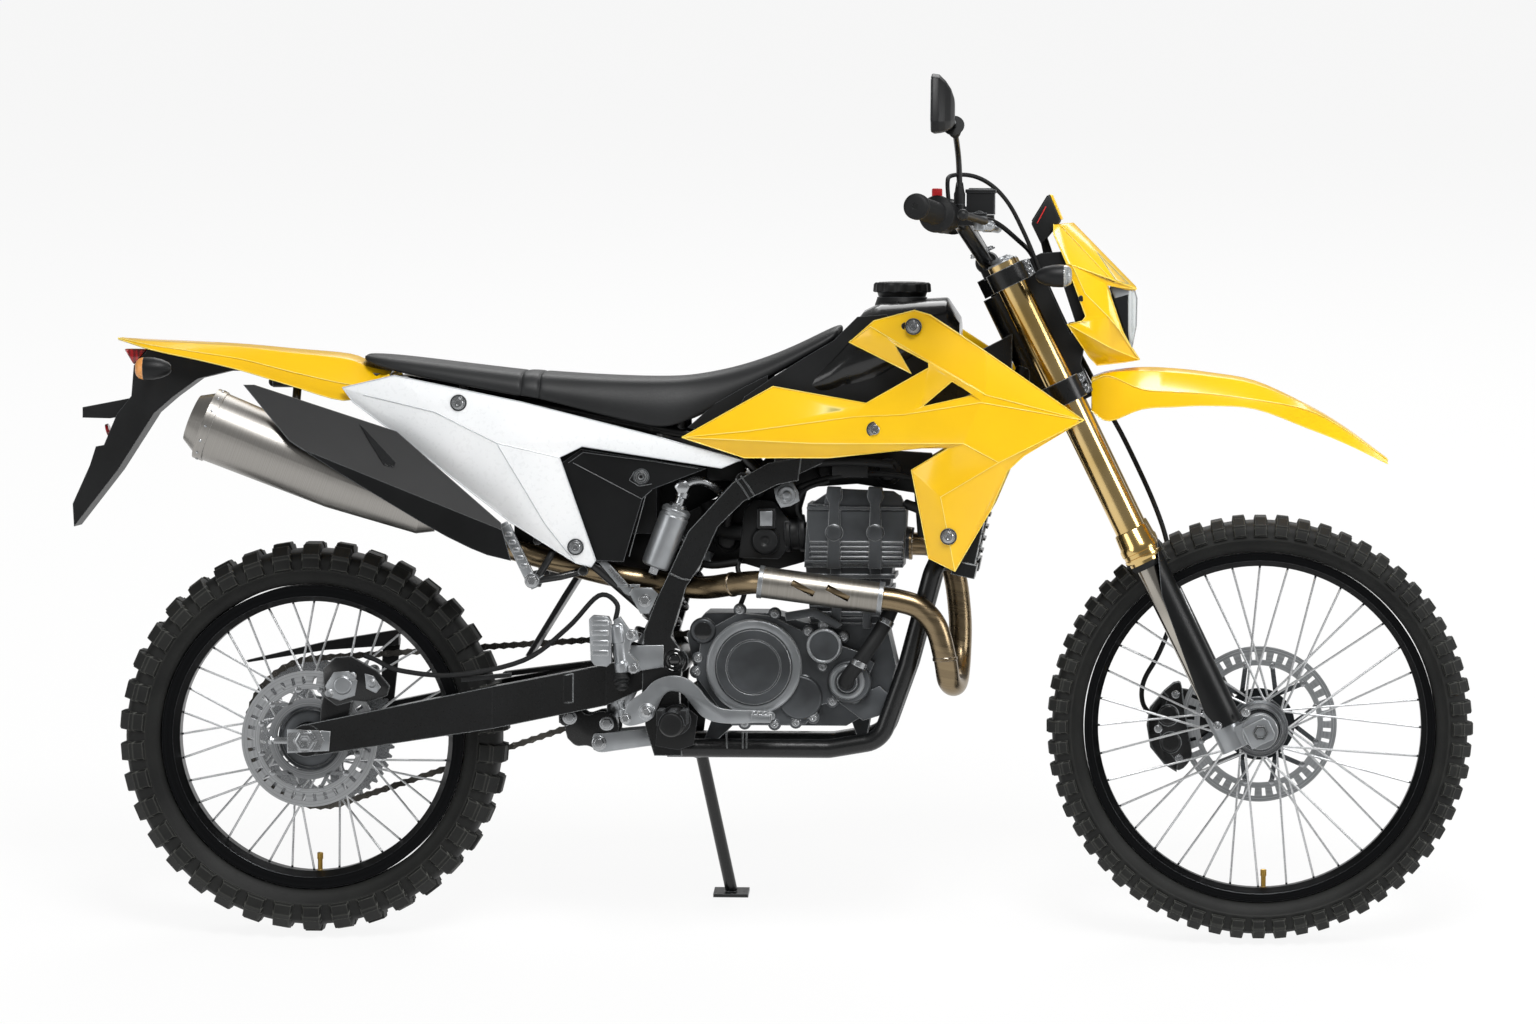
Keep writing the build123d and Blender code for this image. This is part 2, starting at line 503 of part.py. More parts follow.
def front_fender():
    """Arches along the fender, and the plate that bolts it under the lower clamp."""
    stations = [  # x, crown z, edge z, half width
        (1256, 905, 850, 60), (1285, 914, 834, 66), (1345, 920, 855, 66), (1445, 912, 859, 64),
        (1530, 895, 851, 62), (1600, 862, 824, 56), (1660, 827, 800, 46), (1731, 775, 766, 20)]
    shell = ruled([arch(*station) for station in stations])
    z = LOWER_CLAMP[0] - FIT
    plate = FORK * (Pos(-28, 0, z - 3) * Box(84, 104, 6))
    add("front_fender", shell.fuse(plate))


def instrument():
    outline = [(22, 850), (22, 888), (69, 918), (67, 871)]
    clamp_face = STEM_X + 4 + 26 + FIT
    arm = [(clamp_face, 813), (30, 813), (36, 862), (24, 862), (18, 836), (clamp_face, 836)]
    add("instrument", slab(outline, -44, 44).fuse(slab(arm, -12, 12)), place=FORK)


def lamp_bracket():
    """Plates from the clamps' front faces to both sides of the headlight, with stalks for the indicators."""
    face = STEM_X + 4 + 26 + FIT
    outline = [(face, 606), (-4, 606), (-4, 650), (24, 690), (60, 760), (46, 826), (16, 838), (face, 838)]
    plates = [slab(outline, s * LAMP_HALF, s * (LAMP_HALF + 4)) for s in (-1, 1)]
    bars = [Pos(-14, 0, z) * Rot(90, 0, 0) * Cylinder(5, 2 * LAMP_HALF + 4) for z in (662, 800)]
    reach = INDICATOR_Y - INDICATOR_R - FIT - LAMP_HALF
    stalks = [Pos(31.6, s * (LAMP_HALF + reach / 2), 790) * Rot(90, 0, 0) * Cylinder(6, reach) for s in (-1, 1)]
    window = [slab([(2, 700), (16, 706), (26, 780), (4, 786)], -LAMP_HALF - 9, LAMP_HALF + 9)]
    add("lamp_bracket", plates[0].fuse(plates[1], *bars, *stalks).cut(*window), place=FORK)
    add("front_indicators", [indicator(1226, s * INDICATOR_Y, 1066, -58) for s in (-1, 1)])


def indicator(x, y, z, reach):
    """A bullet-shaped turn signal whose lens end is at x."""
    body = rod((x, y, z), (x + reach * 0.5, y, z), INDICATOR_R)
    tail = Solid.make_cone(INDICATOR_R, 7, abs(reach) * 0.5, Plane(origin=(x + reach * 0.5, y, z), z_dir=(reach, 0, 0)))
    return body.fuse(tail)


def front_axle_and_brake():
    x, z = WHEELBASE, FRONT_R
    axle = disc(x, z, AXLE_R, -FORK_Y - 28, FORK_Y + 28) - disc(x, z, AXLE_BORE, -FORK_Y - 30, FORK_Y + 30)
    add("front_axle", axle)
    body = [(1371, 390), (1352, 341), (1358, 306), (1398, 266), (1420, 296), (1410, 350), (1400, 411)]
    slot = (FRONT_DISC_Y - DISC_THICK / 2 - CLEAR, FRONT_DISC_Y + DISC_THICK / 2 + CLEAR)
    bracket = [(1392, 290), (1452, 318), (1478, 350), (1462, 388), (1395, 400)]
    caliper = slab(body, slot[0] - 9, slot[1] + 9) - slab([(p, q) for p, q in body], slot[0], slot[1])
    bridge = slab([(1371, 390), (1352, 341), (1358, 306), (1398, 266), (1396, 280), (1372, 312), (1368, 341), (1382, 386)],
                  slot[0] - 9, slot[1] + 9)
    add("front_caliper", caliper.solids()[0].fuse(caliper.solids()[1], bridge,
                                                  slab(bracket, slot[1] + 3, FORK_Y - FORK_INNER_R - 3 - FIT)))


def frame():
    """Head tube, two spars down to the swingarm pivot and a twin cradle under the engine."""
    head = Pos(STEM_X, 0, LOWER_CLAMP[1] + 2) * Solid.make_cylinder(HEAD_R, UPPER_CLAMP[0] - LOWER_CLAMP[1] - 4)
    head_hole = Pos(STEM_X, 0, LOWER_CLAMP[1]) * Solid.make_cylinder(STEM_R + RUNNING, 400)
    spar = [(560, 296), (546, 340), (540, 399), (543, 494), (564, 548), (587, 597), (614, 656), (685, 734), (742, 766), (794, 775),
            (790, 738), (756, 731), (702, 704), (661, 663), (634, 602), (611, 568), (587, 487), (608, 457), (600, 405), (604, 296)]
    metal = [FORK * head]
    for s in (-1, 1):
        metal.append(slab(spar, s * SPAR_IN, s * SPAR_OUT))
        metal.append(ruled([[(752, s * SPAR_IN, 730), (752, s * SPAR_OUT, 730), (752, s * SPAR_OUT, 778),
                             (752, s * SPAR_IN, 778)],
                            [(1128, s * 8, 906), (1128, s * 30, 906), (1128, s * 30, 972), (1128, s * 8, 972)]]))
        y = s * FRAME_Y
        cradle = [(1150, s * 12, 915), (1070, s * 52, 735), (1004, y, 590), (964, y, 440), (922, y, 322),
                  (840, y, 308), (580, y, 308)]
        metal.append(tube(cradle, TUBE_R, 40))
        metal.append(slab([(690, 744), (712, 738), (664, 666), (636, 662), (634, 686)], s * 18.5, s * 23))
    for x, z, r in ((640, 308, 11), (890, 312, 9), (700, 738, 12)):
        metal.append(disc(x, z, r, -SPAR_IN - 2, SPAR_IN + 2))
    metal.append(disc(*SHOCK_TOP, 8, -23, 23))
    metal.append(disc(*PIVOT, 9 - FIT, -SPAR_IN - 2, SPAR_IN + 2))
    metal.append(disc(*LINK_FRONT, 9, -FRAME_Y, FRAME_Y))
    metal.append(slab([(598, 284), (632, 284), (638, 318), (592, 318)], FRAME_Y, FRAME_Y + TUBE_R))
    metal.append(rod(hinge(-20), hinge(-0.5), 14))
    metal.append(rod(hinge(-20), hinge(STAND_BOSS + 4), 6))
    fused = metal[0].fuse(*metal[1:])
    add("frame", fused.cut(FORK * head_hole))


def subframe():
    """Upper rails under the seat and struts down to the frame, with rests for what they carry."""
    rests = [(600, 71, 815, 870), (440, 73, 846, 886), (250, 73, 875, 908), (110, 70, 892, 909), (0, 62, 892, 924)]
    metal = []
    for s in (-1, 1):
        front = s * (SPAR_IN - SUBFRAME_R - FIT)
        rail = [(730, front, 744), (680, front, 798), (420, s * 74, 848), (140, s * 72, 892), (-60, s * 56, 892)]
        metal.append(tube(rail, SUBFRAME_R, 30))
        strut = [(575, s * 91, 505), (470, s * 98, 596), (160, s * 78, 836), (120, s * 72, 888)]
        metal.append(tube(strut, SUBFRAME_R, 30))
        for x, y, z, top in rests:
            metal.append(disc_up(x, s * y, z, 7, top - z))
    for x, y, z in ((-60, 56, 892), (140, 72, 892), (450, 73, 843), (620, 70, 811)):
        metal.append(disc(x, z, 8, -y, y))
    metal.append(rod((-20, -60, 892), (-20, -118, 800), 7))
    add("subframe", trimmed(metal[0].fuse(*metal[1:]), "seat", "rear_fender", "silencer", "frame"))


def swingarm():
    sections = [  # x, inner y, outer y, lowest z, highest z
        (0, 88, 116, 291, 343), (300, 84, 112, 338, 406), (480, 50, 77, 374, 440), (591, 48, 78, 424, 468)]
    metal = []
    for s in (-1, 1):
        metal.append(ruled([[(x, s * y0, z0), (x, s * y1, z0), (x, s * y1, z1), (x, s * y0, z1)]
                            for x, y0, y1, z0, z1 in sections]))
        metal.append(disc(0, REAR_R, 26, s * 88, s * 116))
    metal.append(disc(*PIVOT, 22, -78, 78))
    metal.append(ruled([[(x, y, z) for y, z in ((-90, z0), (90, z0), (90, z1), (-90, z1))]
                        for x, z0, z1 in ((372, 374, 414), (428, 380, 426))]))
    for s in (-1, 1):
        metal.append(slab([(398, 380), (400, 342), (422, 342), (428, 386)], s * 22, s * 30))
    body = metal[0].fuse(*metal[1:])
    slot = disc(0, REAR_R, AXLE_R + FIT, -130, 130)
    bolt = disc(*PIVOT, 9, -130, 130)
    rocker_hole = disc(*ROCKER_PIN, 8 + FIT, -60, 60)
    add("swingarm", body.cut(slot, bolt, rocker_hole))


def rear_axle():
    metal = [disc(0, REAR_R, AXLE_R, -130, 130)]
    block_outline = [(-28, 300), (24, 303), (30, 318), (24, 333), (-28, 330)]
    for s in (-1, 1):
        metal.append(slab(block_outline, s * (116 + FIT), s * 122))
        metal.append(disc(0, REAR_R, 17, s * 122, s * 128))
    add("rear_axle", metal[0].fuse(*metal[1:]).cut(disc(0, REAR_R, AXLE_BORE, -140, 140)))


def suspension():
    """Monoshock with its spring and reservoir, and the rocker and rods under the swingarm."""
    bottom, top = Vector(SHOCK_FOOT[0], 0, SHOCK_FOOT[1]), Vector(SHOCK_TOP[0], 0, SHOCK_TOP[1])
    foot, seat, coil_low, coil_high, cap, neck_end = [bottom + (top - bottom) * t
                                                      for t in (0.08, 0.24, 0.29, 0.80, 0.86, 0.94)]
    metal = [rod(bottom, top, 9), rod(foot, neck_end, 19), rod(seat, coil_low, 32), rod(coil_high, cap, 32)]
    coils = 7
    for i in range(coils):
        near = coil_low + (coil_high - coil_low) * ((i + 0.25) / coils)
        far = coil_low + (coil_high - coil_low) * ((i + 0.75) / coils)
        metal.append(rod(near, far, 28))
    metal.append(disc(*SHOCK_TOP, 15, -18, 18))
    metal.append(disc(*SHOCK_FOOT, 15, -17, 17))
    canister = rod((560, -92, 598), (596, -92, 694), 24)
    neck = rod((584, -92, 660), (612, -14, 622), 8)
    body = metal[0].fuse(*metal[1:], canister, neck)
    add("shock_absorber", body.cut(disc(*SHOCK_TOP, 8 + FIT, -40, 40), disc(*SHOCK_FOOT, 8 + FIT, -40, 40)))
    rocker = [(398, 352), (409, 334), (421, 306), (470, 298), (494, 330), (494, 350), (470, 354), (440, 338),
              (416, 356)]
    rods = [(462, 300), (474, 298), (603, 304), (604, 332), (590, 334), (466, 318)]
    links = [slab(rocker, s * 31, s * 38) for s in (-1, 1)] + [slab(rods, s * 37, s * 44) for s in (-1, 1)]
    pins = [disc(*ROCKER_PIN, 8, -38, 38), disc(*SHOCK_FOOT, 8, -38, 38), disc(466, 309, 8, -44, 44)]
    add("shock_linkage", links[0].fuse(*links[1:], *pins).cut(disc(*LINK_FRONT, 9 + FIT, -60, 60)))


def engine():
    case = [(609, 490), (639, 524), (746, 524), (806, 508), (930, 508), (946, 440), (930, 380), (866, 343),
            (684, 343), (628, 400)]
    drive = disc(DRIVE_X, DRIVE_Z, 27.2, 50, CHAIN_Y + 8)
    lugs = [slab([(656, 376), (692, 350), (648, 308), (632, 308)], -22, 22),
            slab([(872, 350), (908, 380), (895, 312), (885, 312)], -22, 22)]
    add("crankcase", trimmed(slab(case, -62, 56).fuse(drive, *lugs), "frame"))
    right_case = [(625, 423), (635, 492), (694, 525), (746, 520), (800, 495), (886, 464), (912, 446), (890, 395),
                  (826, 378), (802, 347), (684, 344)]
    right = [slab(right_case, -62 - FIT, -88)]
    for x, z, r, y in ((719, 439, 76, -99), (719, 439, 60, -104), (832, 474, 28, -104), (869, 416, 28, -98),
                       (869, 416, 16, -108)):
        right.append(disc(x, z, r, -80, y))
    recess = disc(719, 439, 44, -101, -110)
    stator = [disc(780, 430, 64, 56 + FIT, 84), disc(780, 430, 48, 80, 92)]
    guard = [disc(DRIVE_X + 8, DRIVE_Z, 48, 81, 90), slab([(690, 402), (760, 402), (760, 480), (690, 490)], 81, 90)]
    add("engine_covers", right[0].fuse(*right[1:]).cut(recess), stator[0].fuse(*stator[1:], *guard))
    barrel = [(808, 508 + FIT), (926, 508 + FIT), (940, 598), (800, 598)]
    head = [(798, 598), (956, 598), (960, 688), (803, 700)]
    cover = [(806, 698), (836, 718), (948, 710), (958, 688)]
    metal = [slab(barrel, -60, 60), slab(head, -70, 66), slab(cover, -56, 56)]
    for i in range(4):
        z = 520 + 20 * i
        metal.append(block(802 - i, 932 + 4 * i, -68, 66, z, z + 7))
    metal.append(rod(PORT_ROOT, PORT, 26))
    add("cylinder", metal[0].fuse(*metal[1:]))
    throttle = rod((696, 30, 650), (790, 0, 650), 25)
    bowl = disc(748, 650, 30, -8, 44)
    boot = [rod((540, 56, 694), (640, 56, 672), 20), rod((640, 56, 672), (704, 32, 650), 20)]
    box = block(330, 560, -58, 58, 650, 843 - 8 - FIT)
    add("air_box", box.fuse(block(330, 420, -58, 58, 622, 655), throttle, bowl, *boot))


def radiators():
    """A core between two end tanks on each side, with an arm to the frame."""
    cores = []
    for s in (-1, 1):
        place = Pos(1076, s * 124, 690) * Rot(0, 12, 0)
        core = place * Box(30, 84, 200)
        tanks = [place * Pos(0, 0, z) * Box(38, 90, 22) for z in (-92, 92)]
        fins = [place * Pos(16, 0, z) * Box(6, 82, 5) for z in range(-70, 71, 20)]
        arm = rod((1060, s * 86, 606), (1012, s * 84, 600), 7)
        cores.append(trimmed(core.fuse(*tanks, *fins, arm), "frame"))
    add("radiators", cores)


def exhaust():
    """Header out of the head, round to the right, back along the engine and up to the silencer."""
    route = [PORT + (PORT - PORT_ROOT).normalized() * FIT, (1018, 0, 626), (1050, -4, 520), (1046, -46, 420),
             (1016, PIPE_Y, 440), (990, PIPE_Y, 530), (916, PIPE_Y, 553), (740, PIPE_Y, 576), (630, -57, 562),
             (470, -62, 588), (318, -84, 630), (240, SILENCER_Y, 669)]
    add("exhaust_pipe", tube(route, PIPE_R, [30, 34, 34, 30, 34, 60, 60, 60, 60, 60]))
    x, z = SILENCER_NOSE[0] - SILENCER_BACK[0], SILENCER_NOSE[1] - SILENCER_BACK[1]
    length = hypot(x, z)
    axis = Plane(origin=(SILENCER_BACK[0], SILENCER_Y, SILENCER_BACK[1]), x_dir=(0, -1, 0), z_dir=(x, 0, z)).location
    profile = [(24, 6), (24, -32), (38, -32), (52, -8), (SILENCER_R + 2, -8), (SILENCER_R + 2, 8), (SILENCER_R, 8),
               (SILENCER_R - 4, length * 0.55), (SILENCER_FRONT_R, length - 30), (24, length - 4), (0, length - 4),
               (0, 6)]
    body = revolve(make_face(Plane.XZ * Polyline(*profile, close=True)), Axis.Z)
    add("silencer", axis * body)
    facets = [(66, 22), (66, -24), (4, -104), (1, -102), (63, -23), (63, 22)]    # outwards, down from the axis
    sheet = ruled([[(out, down, t) for out, down in facets] for t in (-60, 560)])
    outline = [(-95, 889), (-78, 889), (149, 815), (322, 672), (339, 612), (292, 623), (236, 650), (193, 674),
               (65, 750), (-16, 801)]
    guard = (axis * sheet) & slab(outline, SILENCER_Y - 90, SILENCER_Y + 20)
    rests = [axis * Rot(0, 0, -37.8) * Pos(0, 0, t) * Rot(0, 90, 0) * Solid.make_cylinder(7, 65.5) for t in (170, 330)]
    add("silencer_guard", trimmed(guard.fuse(*rests), "silencer"))
    shield = Cylinder(PIPE_R + 8, 196) - Cylinder(PIPE_R + 5, 196)
    clips = [Pos(0, 0, z) * (Cylinder(PIPE_R + 6, 8) - Cylinder(PIPE_R + FIT, 8)) for z in (-56, 56)]
    slots = [Pos(0, -PIPE_R - 4, z) * Rot(0, 20, 0) * Box(10, 20, 40) for z in (-28, 28)]
    line = Plane(origin=(828, PIPE_Y, 564.5), x_dir=(-23, 0, -176), z_dir=(176, 0, -23))
    half = Pos(0, 30, 0) * Box(80, 60, 200)
    add("heat_shield", line.location * shield.fuse(*clips).cut(half, *slots))


def tank_and_seat():
    tank = [  # x, lowest z, belly z, top z, foot half, belly half, shoulder half
        (690, 800, 828, 860, 60, 78, 62), (752, 804, 850, 896, 60, 92, 70), (841, 826, 890, 946, 60, 118, 82),
        (862, 838, 905, 972, 60, 124, 88), (892, 852, 912, 1010, 60, 126, 92), (921, 868, 920, 1024, 56, 126, 92),
        (1025, 922, 958, 1031, 40, 100, 74), (1046, 934, 966, 1000, 36, 84, 60)]
    sections = []
    for x, low, belly, high, foot, wide, shoulder in tank:
        right = [(x, foot, low), (x, wide, belly), (x, wide - 4, (belly + high) / 2 + 6), (x, shoulder, high - 8)]
        sections.append(right + [(x, 0, high)] + [mirrored(p) for p in reversed(right)])
    neck = disc_up(CAP[0], 0, CAP[1] - 40, 40, 40)
    rests = [disc_up(x, s * y, z, 9, 50) for s in (-1, 1) for x, y, z in ((800, 74, 795), (980, 42, 895))]
    add("fuel_tank", trimmed(ruled(sections).fuse(neck, *rests), "frame"))
    cap = disc_up(CAP[0], 0, CAP[1] + FIT, 46, 8).fuse(disc_up(CAP[0], 0, CAP[1] + 5, 38, 20))
    add("fuel_cap", cap)
    seat = [  # x, side bottom z, middle bottom z, top z, half width, crown half width
        (88, 927, 927, 938, 74, 60), (141, 906, 918, 936, 102, 74), (347, 868, 880, 912, 116, 86),
        (571, 813, 838, 903, 112, 84), (607, 822, 850, 904, 106, 78), (700, 876, 884, 923, 92, 62),
        (752, 906, 912, 942, 86, 56), (841, 955, 960, 985, 72, 44), (857, 978, 980, 989, 62, 38)]
    sections = []
    for x, low, mid, high, half, crown in seat:
        right = [(x, half - 22, mid), (x, half - 2, low), (x, half, low + (high - low) * 0.45), (x, crown, high - 5)]
        sections.append(right + [(x, 0, high)] + [mirrored(p) for p in reversed(right)])
    add("seat", ruled(sections))


def disc_up(x, y, z, radius, height):
    """An upright round boss."""
    return rod((x, y, z), (x, y, z + height), radius)


def shrouds():
    """Side wings from the tank to past the radiators, each on posts to the tank and the radiator."""
    shroud = [(605, 807), (751, 889), (900, 863), (1000, 918), (972, 910), (872, 960), (912, 994), (977, 1011),
              (1002, 1004), (1091, 946), (1246, 838), (1152, 782), (1126, 758), (1099, 695), (1043, 598),
              (1001, 618), (973, 758), (1031, 793), (989, 793), (840, 776), (705, 775)]
    vent = [(989, 858), (1037, 900), (1072, 877)]
    plan = [(600, 127), (751, 140), (900, 158), (1000, 180), (1060, 190), (1130, 190), (1250, 172)]
    wall = plan_band(plan, PANEL, 590, 1015) & slab(shroud, 100, 200)
    posts = [disc(x, z, 6, y0, y1) for x, z, y0, y1 in (
        (962, 986, 60, 169), (880, 846, 90, 154), (1068, 660, 150, 188), (1082, 738, 150, 188))]
    add("radiator_shrouds", both(trimmed((wall - slab(vent, 100, 200)).fuse(*posts), "fuel_tank", "radiators")))


def side_panels():
    """Number panel and lower cover on each side, on posts to the subframe."""
    panel = [(58, 884), (142, 904), (349, 862), (572, 806), (700, 771), (668, 758), (445, 792), (409, 774),
             (467, 610), (460, 599), (435, 605), (331, 669), (142, 812), (75, 861)]
    plan = [(40, 108), (142, 117), (349, 123), (572, 123), (705, 121)]
    posts = [disc(x, z, 6, y0, 120) for x, z, y0 in ((246, 868, 74), (435, 624, 95))]
    wall = plan_band(plan, PANEL, 590, 910) & slab(panel, 100, 130)
    add("side_panels", both(trimmed(wall.fuse(*posts), "subframe")))
    cover = [(412, 765), (442, 787), (644, 757), (556, 723), (541, 708), (511, 607), (464, 609)]
    posts = [disc(472, 612, 7, 96, 110), disc(600, 748, 6, 92, 110)]
    add("side_covers", both(trimmed(slab(cover, 109, 112).fuse(*posts), "subframe", "frame")))


def rear_fender():
    stations = [(-318, 962, 960, 22), (-257, 959, 943, 62), (-108, 952, 910, 82), (58, 937, 863, 98),
                (74, 928, 872, 98), (132, 912, 900, 96)]
    add("rear_fender", ruled([arch(*station) for station in stations]))


def tail():
    """Plate holder with stalks and lamp arm under the fender's tip, and what hangs on it."""
    holder = [(-262, 949), (-111, 939), (-111, 909), (-133, 909), (-186, 896), (-227, 866), (-257, 840),
              (-317, 747), (-388, 656), (-390, 693), (-362, 755), (-352, 786), (-339, 788), (-318, 838),
              (-294, 868), (-290, 917)]
    lamp_arm = [(-376, 849), (-376, 832), (-331, 831), (-300, 838), (-288, 866)]
    stalks = [disc(-255, 914, 7, s * 36, s * (130 - INDICATOR_R - FIT)) for s in (-1, 1)]
    boss = block(-200, -120, -20, 20, 935, 960)
    bracket = slab(holder, -38, 38).fuse(slab(lamp_arm, -24, 24), boss, *stalks)
    add("plate_holder", trimmed(bracket, "rear_fender").solids().sort_by(Axis.Z)[0])
    lamp = slab([(-307, 945), (-266.8, 944.2), (-290.3, 917.3)], -40, 40)
    turn = [indicator(-272, s * 130, 914, 62) for s in (-1, 1)]
    add("rear_lamps", lamp, turn)
    flap = [(452, 650 - FIT), (458, 650 - FIT), (446, 596), (414, 545), (354, 449), (347, 452), (405, 548), (438, 600)]
    add("mud_flap", slab(flap, -46, 46))


def small_parts():
    add("chain", chain())
    guard = [(-122, 434), (10, 466), (129, 486), (129, 461), (10, 452), (-118, 431)]
    strap = [(96, 363.6), (118, 368.2), (129, 470), (100, 462)]
    add("chain_guard", slab(guard, 61, 86).fuse(slab(strap, 84, 92)))
    pedal = [(517, 355), (536, 352), (566, 360), (572, 392), (596, 411), (618, 400), (640, 370), (672, 352),
             (719, 350), (754, 360), (753, 368), (719, 362), (676, 364), (650, 378), (626, 410), (596, 424),
             (564, 404), (549, 378), (522, 366)]
    shaft = disc(551, 366, 9, -FRAME_Y - TUBE_R - FIT, -141)
    tread = block(728, 756, -158, -128, 358, 366)
    shift = [(664, 352), (680, 352), (790, 368), (789, 376), (676, 368), (664, 368)]
    add("foot_levers", slab(pedal, -133, -141).fuse(shaft, tread),
        slab(shift, 118, 125).fuse(disc(672, 360, 8, 56 + FIT, 125), disc(788, 372, 8, 118, 158)))
    pegs, rear_pegs = [], []
    plate = [(562, 312), (622, 312), (626, 368), (600, 380), (568, 376)]
    rear_plate = [(322, 660), (349, 590), (366, 565), (430, 584), (396, 621), (372, 664)]
    for s in (-1, 1):
        y0 = s * (FRAME_Y + TUBE_R + FIT)
        pegs.append(slab(plate, y0, s * 110).fuse(block(574, 620, min(s * 108, s * 215), max(s * 108, s * 215), 341, 367)))
        post = disc(372, 658, 7, s * 90, s * 110)
        rear_pegs.append(trimmed(slab(rear_plate, s * 107.4, s * 112).fuse(
            rod((350, s * 121, 604), (424, s * 121, 590), 11), post), "subframe"))
    add("foot_pegs", pegs, rear_pegs)
    master = rod((474, -116, 512), (506, -116, 400), 11).fuse(
        block(456, 484, -130, -104, 490, 520), slab([(490, 474), (575, 474), (575, 430), (500, 430)], -103.3, -108))
    slot = (REAR_DISC_Y - DISC_THICK / 2 - CLEAR, REAR_DISC_Y + DISC_THICK / 2 + CLEAR)
    body = [(27, 440), (56, 446), (100, 430), (128, 391), (77, 382), (48, 373), (27, 391)]
    bridge = [(27, 440), (56, 446), (100, 430), (128, 391), (120, 388), (92, 420), (56, 437), (27, 432)]
    bracket = [(20, 338), (64, 348), (70, 384), (27, 400)]
    halves = (slab(body, slot[0] - 8, slot[1] + 8) - slab(body, *slot)).solids()
    caliper = halves[0].fuse(halves[1], slab(bridge, slot[0] - 8, slot[1] + 8), slab(bracket, -86.5, slot[0] - 1))
    add("rear_brake", master, caliper)


def side_stand():
    """A leg on a tilted hinge, with its foot flat on the ground that the leaning tyres stand on."""
    boss = rod(hinge(FIT), hinge(STAND_BOSS), 14).cut(rod(hinge(-30), hinge(60), 6 + FIT))
    foot_z = ground(STAND_FOOT[1])
    foot = Pos(*STAND_FOOT, foot_z) * Rot(LEAN, 0, 0) * Pos(0, 0, 3) * Box(58, 42, 6)
    leg = rod(hinge(STAND_LEG_R + 6), (*STAND_FOOT, foot_z + 6), STAND_LEG_R)
    leg = leg.cut(rod(hinge(-30), hinge(60), 6 + FIT))
    add("side_stand", boss.fuse(leg, foot))


def build():
    wheels()
    fork()
    clamps()
    handlebar()
    mirror_arm()
    headlight_and_cowl()
    front_fender()
    instrument()
    lamp_bracket()
    front_axle_and_brake()
    cables()
    frame()
    exhaust()
    tank_and_seat()
    rear_fender()
    subframe()
    tail()
    swingarm()
    rear_axle()
    suspension()
    engine()
    radiators()
    shrouds()
    side_panels()
    small_parts()
    side_stand()


def lean_and_save():
    """Lean the machine on its stand, set it over its own middle on the ground and write each piece."""
    lean = Rot(-LEAN, 0, 0)
    leaned = {name: Compound([lean * solid for solid in solids]) for name, solids in pieces.items()}
    box = Compound(list(leaned.values())).bounding_box()
    stand = Pos(-(box.min.X + box.max.X) / 2, -(box.min.Y + box.max.Y) / 2, -box.min.Z)
    os.makedirs("parts", exist_ok=True)
    for name, shape in leaned.items():
        solids = (stand * shape).solids()
        export_step(solids[0] if len(solids) == 1 else Compound(solids), f"parts/{name}.step")
    print(f"{len(pieces)} pieces, moved {stand.position}")


build()
lean_and_save()
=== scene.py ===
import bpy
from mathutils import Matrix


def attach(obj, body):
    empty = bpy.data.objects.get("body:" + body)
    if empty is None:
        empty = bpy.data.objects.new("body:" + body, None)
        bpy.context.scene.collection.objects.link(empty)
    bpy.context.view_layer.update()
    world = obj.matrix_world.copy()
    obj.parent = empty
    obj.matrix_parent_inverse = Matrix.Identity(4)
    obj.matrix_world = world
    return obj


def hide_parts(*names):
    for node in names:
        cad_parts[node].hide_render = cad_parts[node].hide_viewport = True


bl_info = {"name": "Dual sport motorcycle", "version": (1, 0, 0), "blender": (4, 5, 0),
    "location": "3D View > Sidebar > Motorcycle",
    "description": "Dresses the frame of a dual sport motorcycle and sets its stage", "category": "Add Mesh", }

from math import atan2, cos, pi, radians, sin

import bmesh
import bpy
from mathutils import Matrix, Vector

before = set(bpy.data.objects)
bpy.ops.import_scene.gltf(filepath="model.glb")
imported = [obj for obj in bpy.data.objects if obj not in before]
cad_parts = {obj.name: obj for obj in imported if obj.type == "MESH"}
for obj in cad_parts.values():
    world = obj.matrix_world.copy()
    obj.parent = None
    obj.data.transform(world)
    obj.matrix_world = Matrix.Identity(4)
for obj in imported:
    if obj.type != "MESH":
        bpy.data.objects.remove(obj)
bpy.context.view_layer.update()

# The machine is drawn upright in millimetres: X forward from the rear axle, Y to the rider's left,
# Z up from the ground. PLACE leans it on its side stand and sets it where the frame stands, in metres.
LEAN = radians(-10)
SHIFT = (-739.8372459, -201.5604596, 2.2841597)
PLACE = Matrix.Scale(0.001, 4) @ Matrix.Translation(SHIFT) @ Matrix.Rotation(LEAN, 4, "X")
MM = 0.001

WHEELBASE, FRONT_R, REAR_R = 1528, 342, 317
RAKE = radians(26)
PANEL = 3                       # wall of the plastics
LEFT, RIGHT, UP = (0, 1, 0), (0, -1, 0), (0, 0, 1)

# Finishes that many pieces share.
NYLON = "grained nylon black"
SATIN = "satin nylon black"
COATED = "powder coated steel black"
CAST = "cast aluminium silver"
ENGINE = "painted castings dark grey"
PLATED = "plated steel"
GLOSS = "moulded gloss plastic yellow"
RUBBER = "grip rubber"


# ---------------------------------------------------------------- small helpers
def linear(code):
    """A colour written as sRGB hex, in linear light."""
    parts = [int(code[i:i + 2], 16) / 255 for i in (1, 3, 5)]
    return tuple(p / 12.92 if p <= 0.04045 else ((p + 0.055) / 1.055) ** 2.4 for p in parts)


def tone(colour):
    """A node's colour from a hex code, or from a colour already linear."""
    return (*(linear(colour) if isinstance(colour, str) else colour), 1)


def fork(ahead, y, up):
    """A point given in the fork's own frame: ahead of the axle, to the left, up along the tubes."""
    return Vector((WHEELBASE + cos(RAKE) * ahead - sin(RAKE) * up, y, FRONT_R + sin(RAKE) * ahead + cos(RAKE) * up))


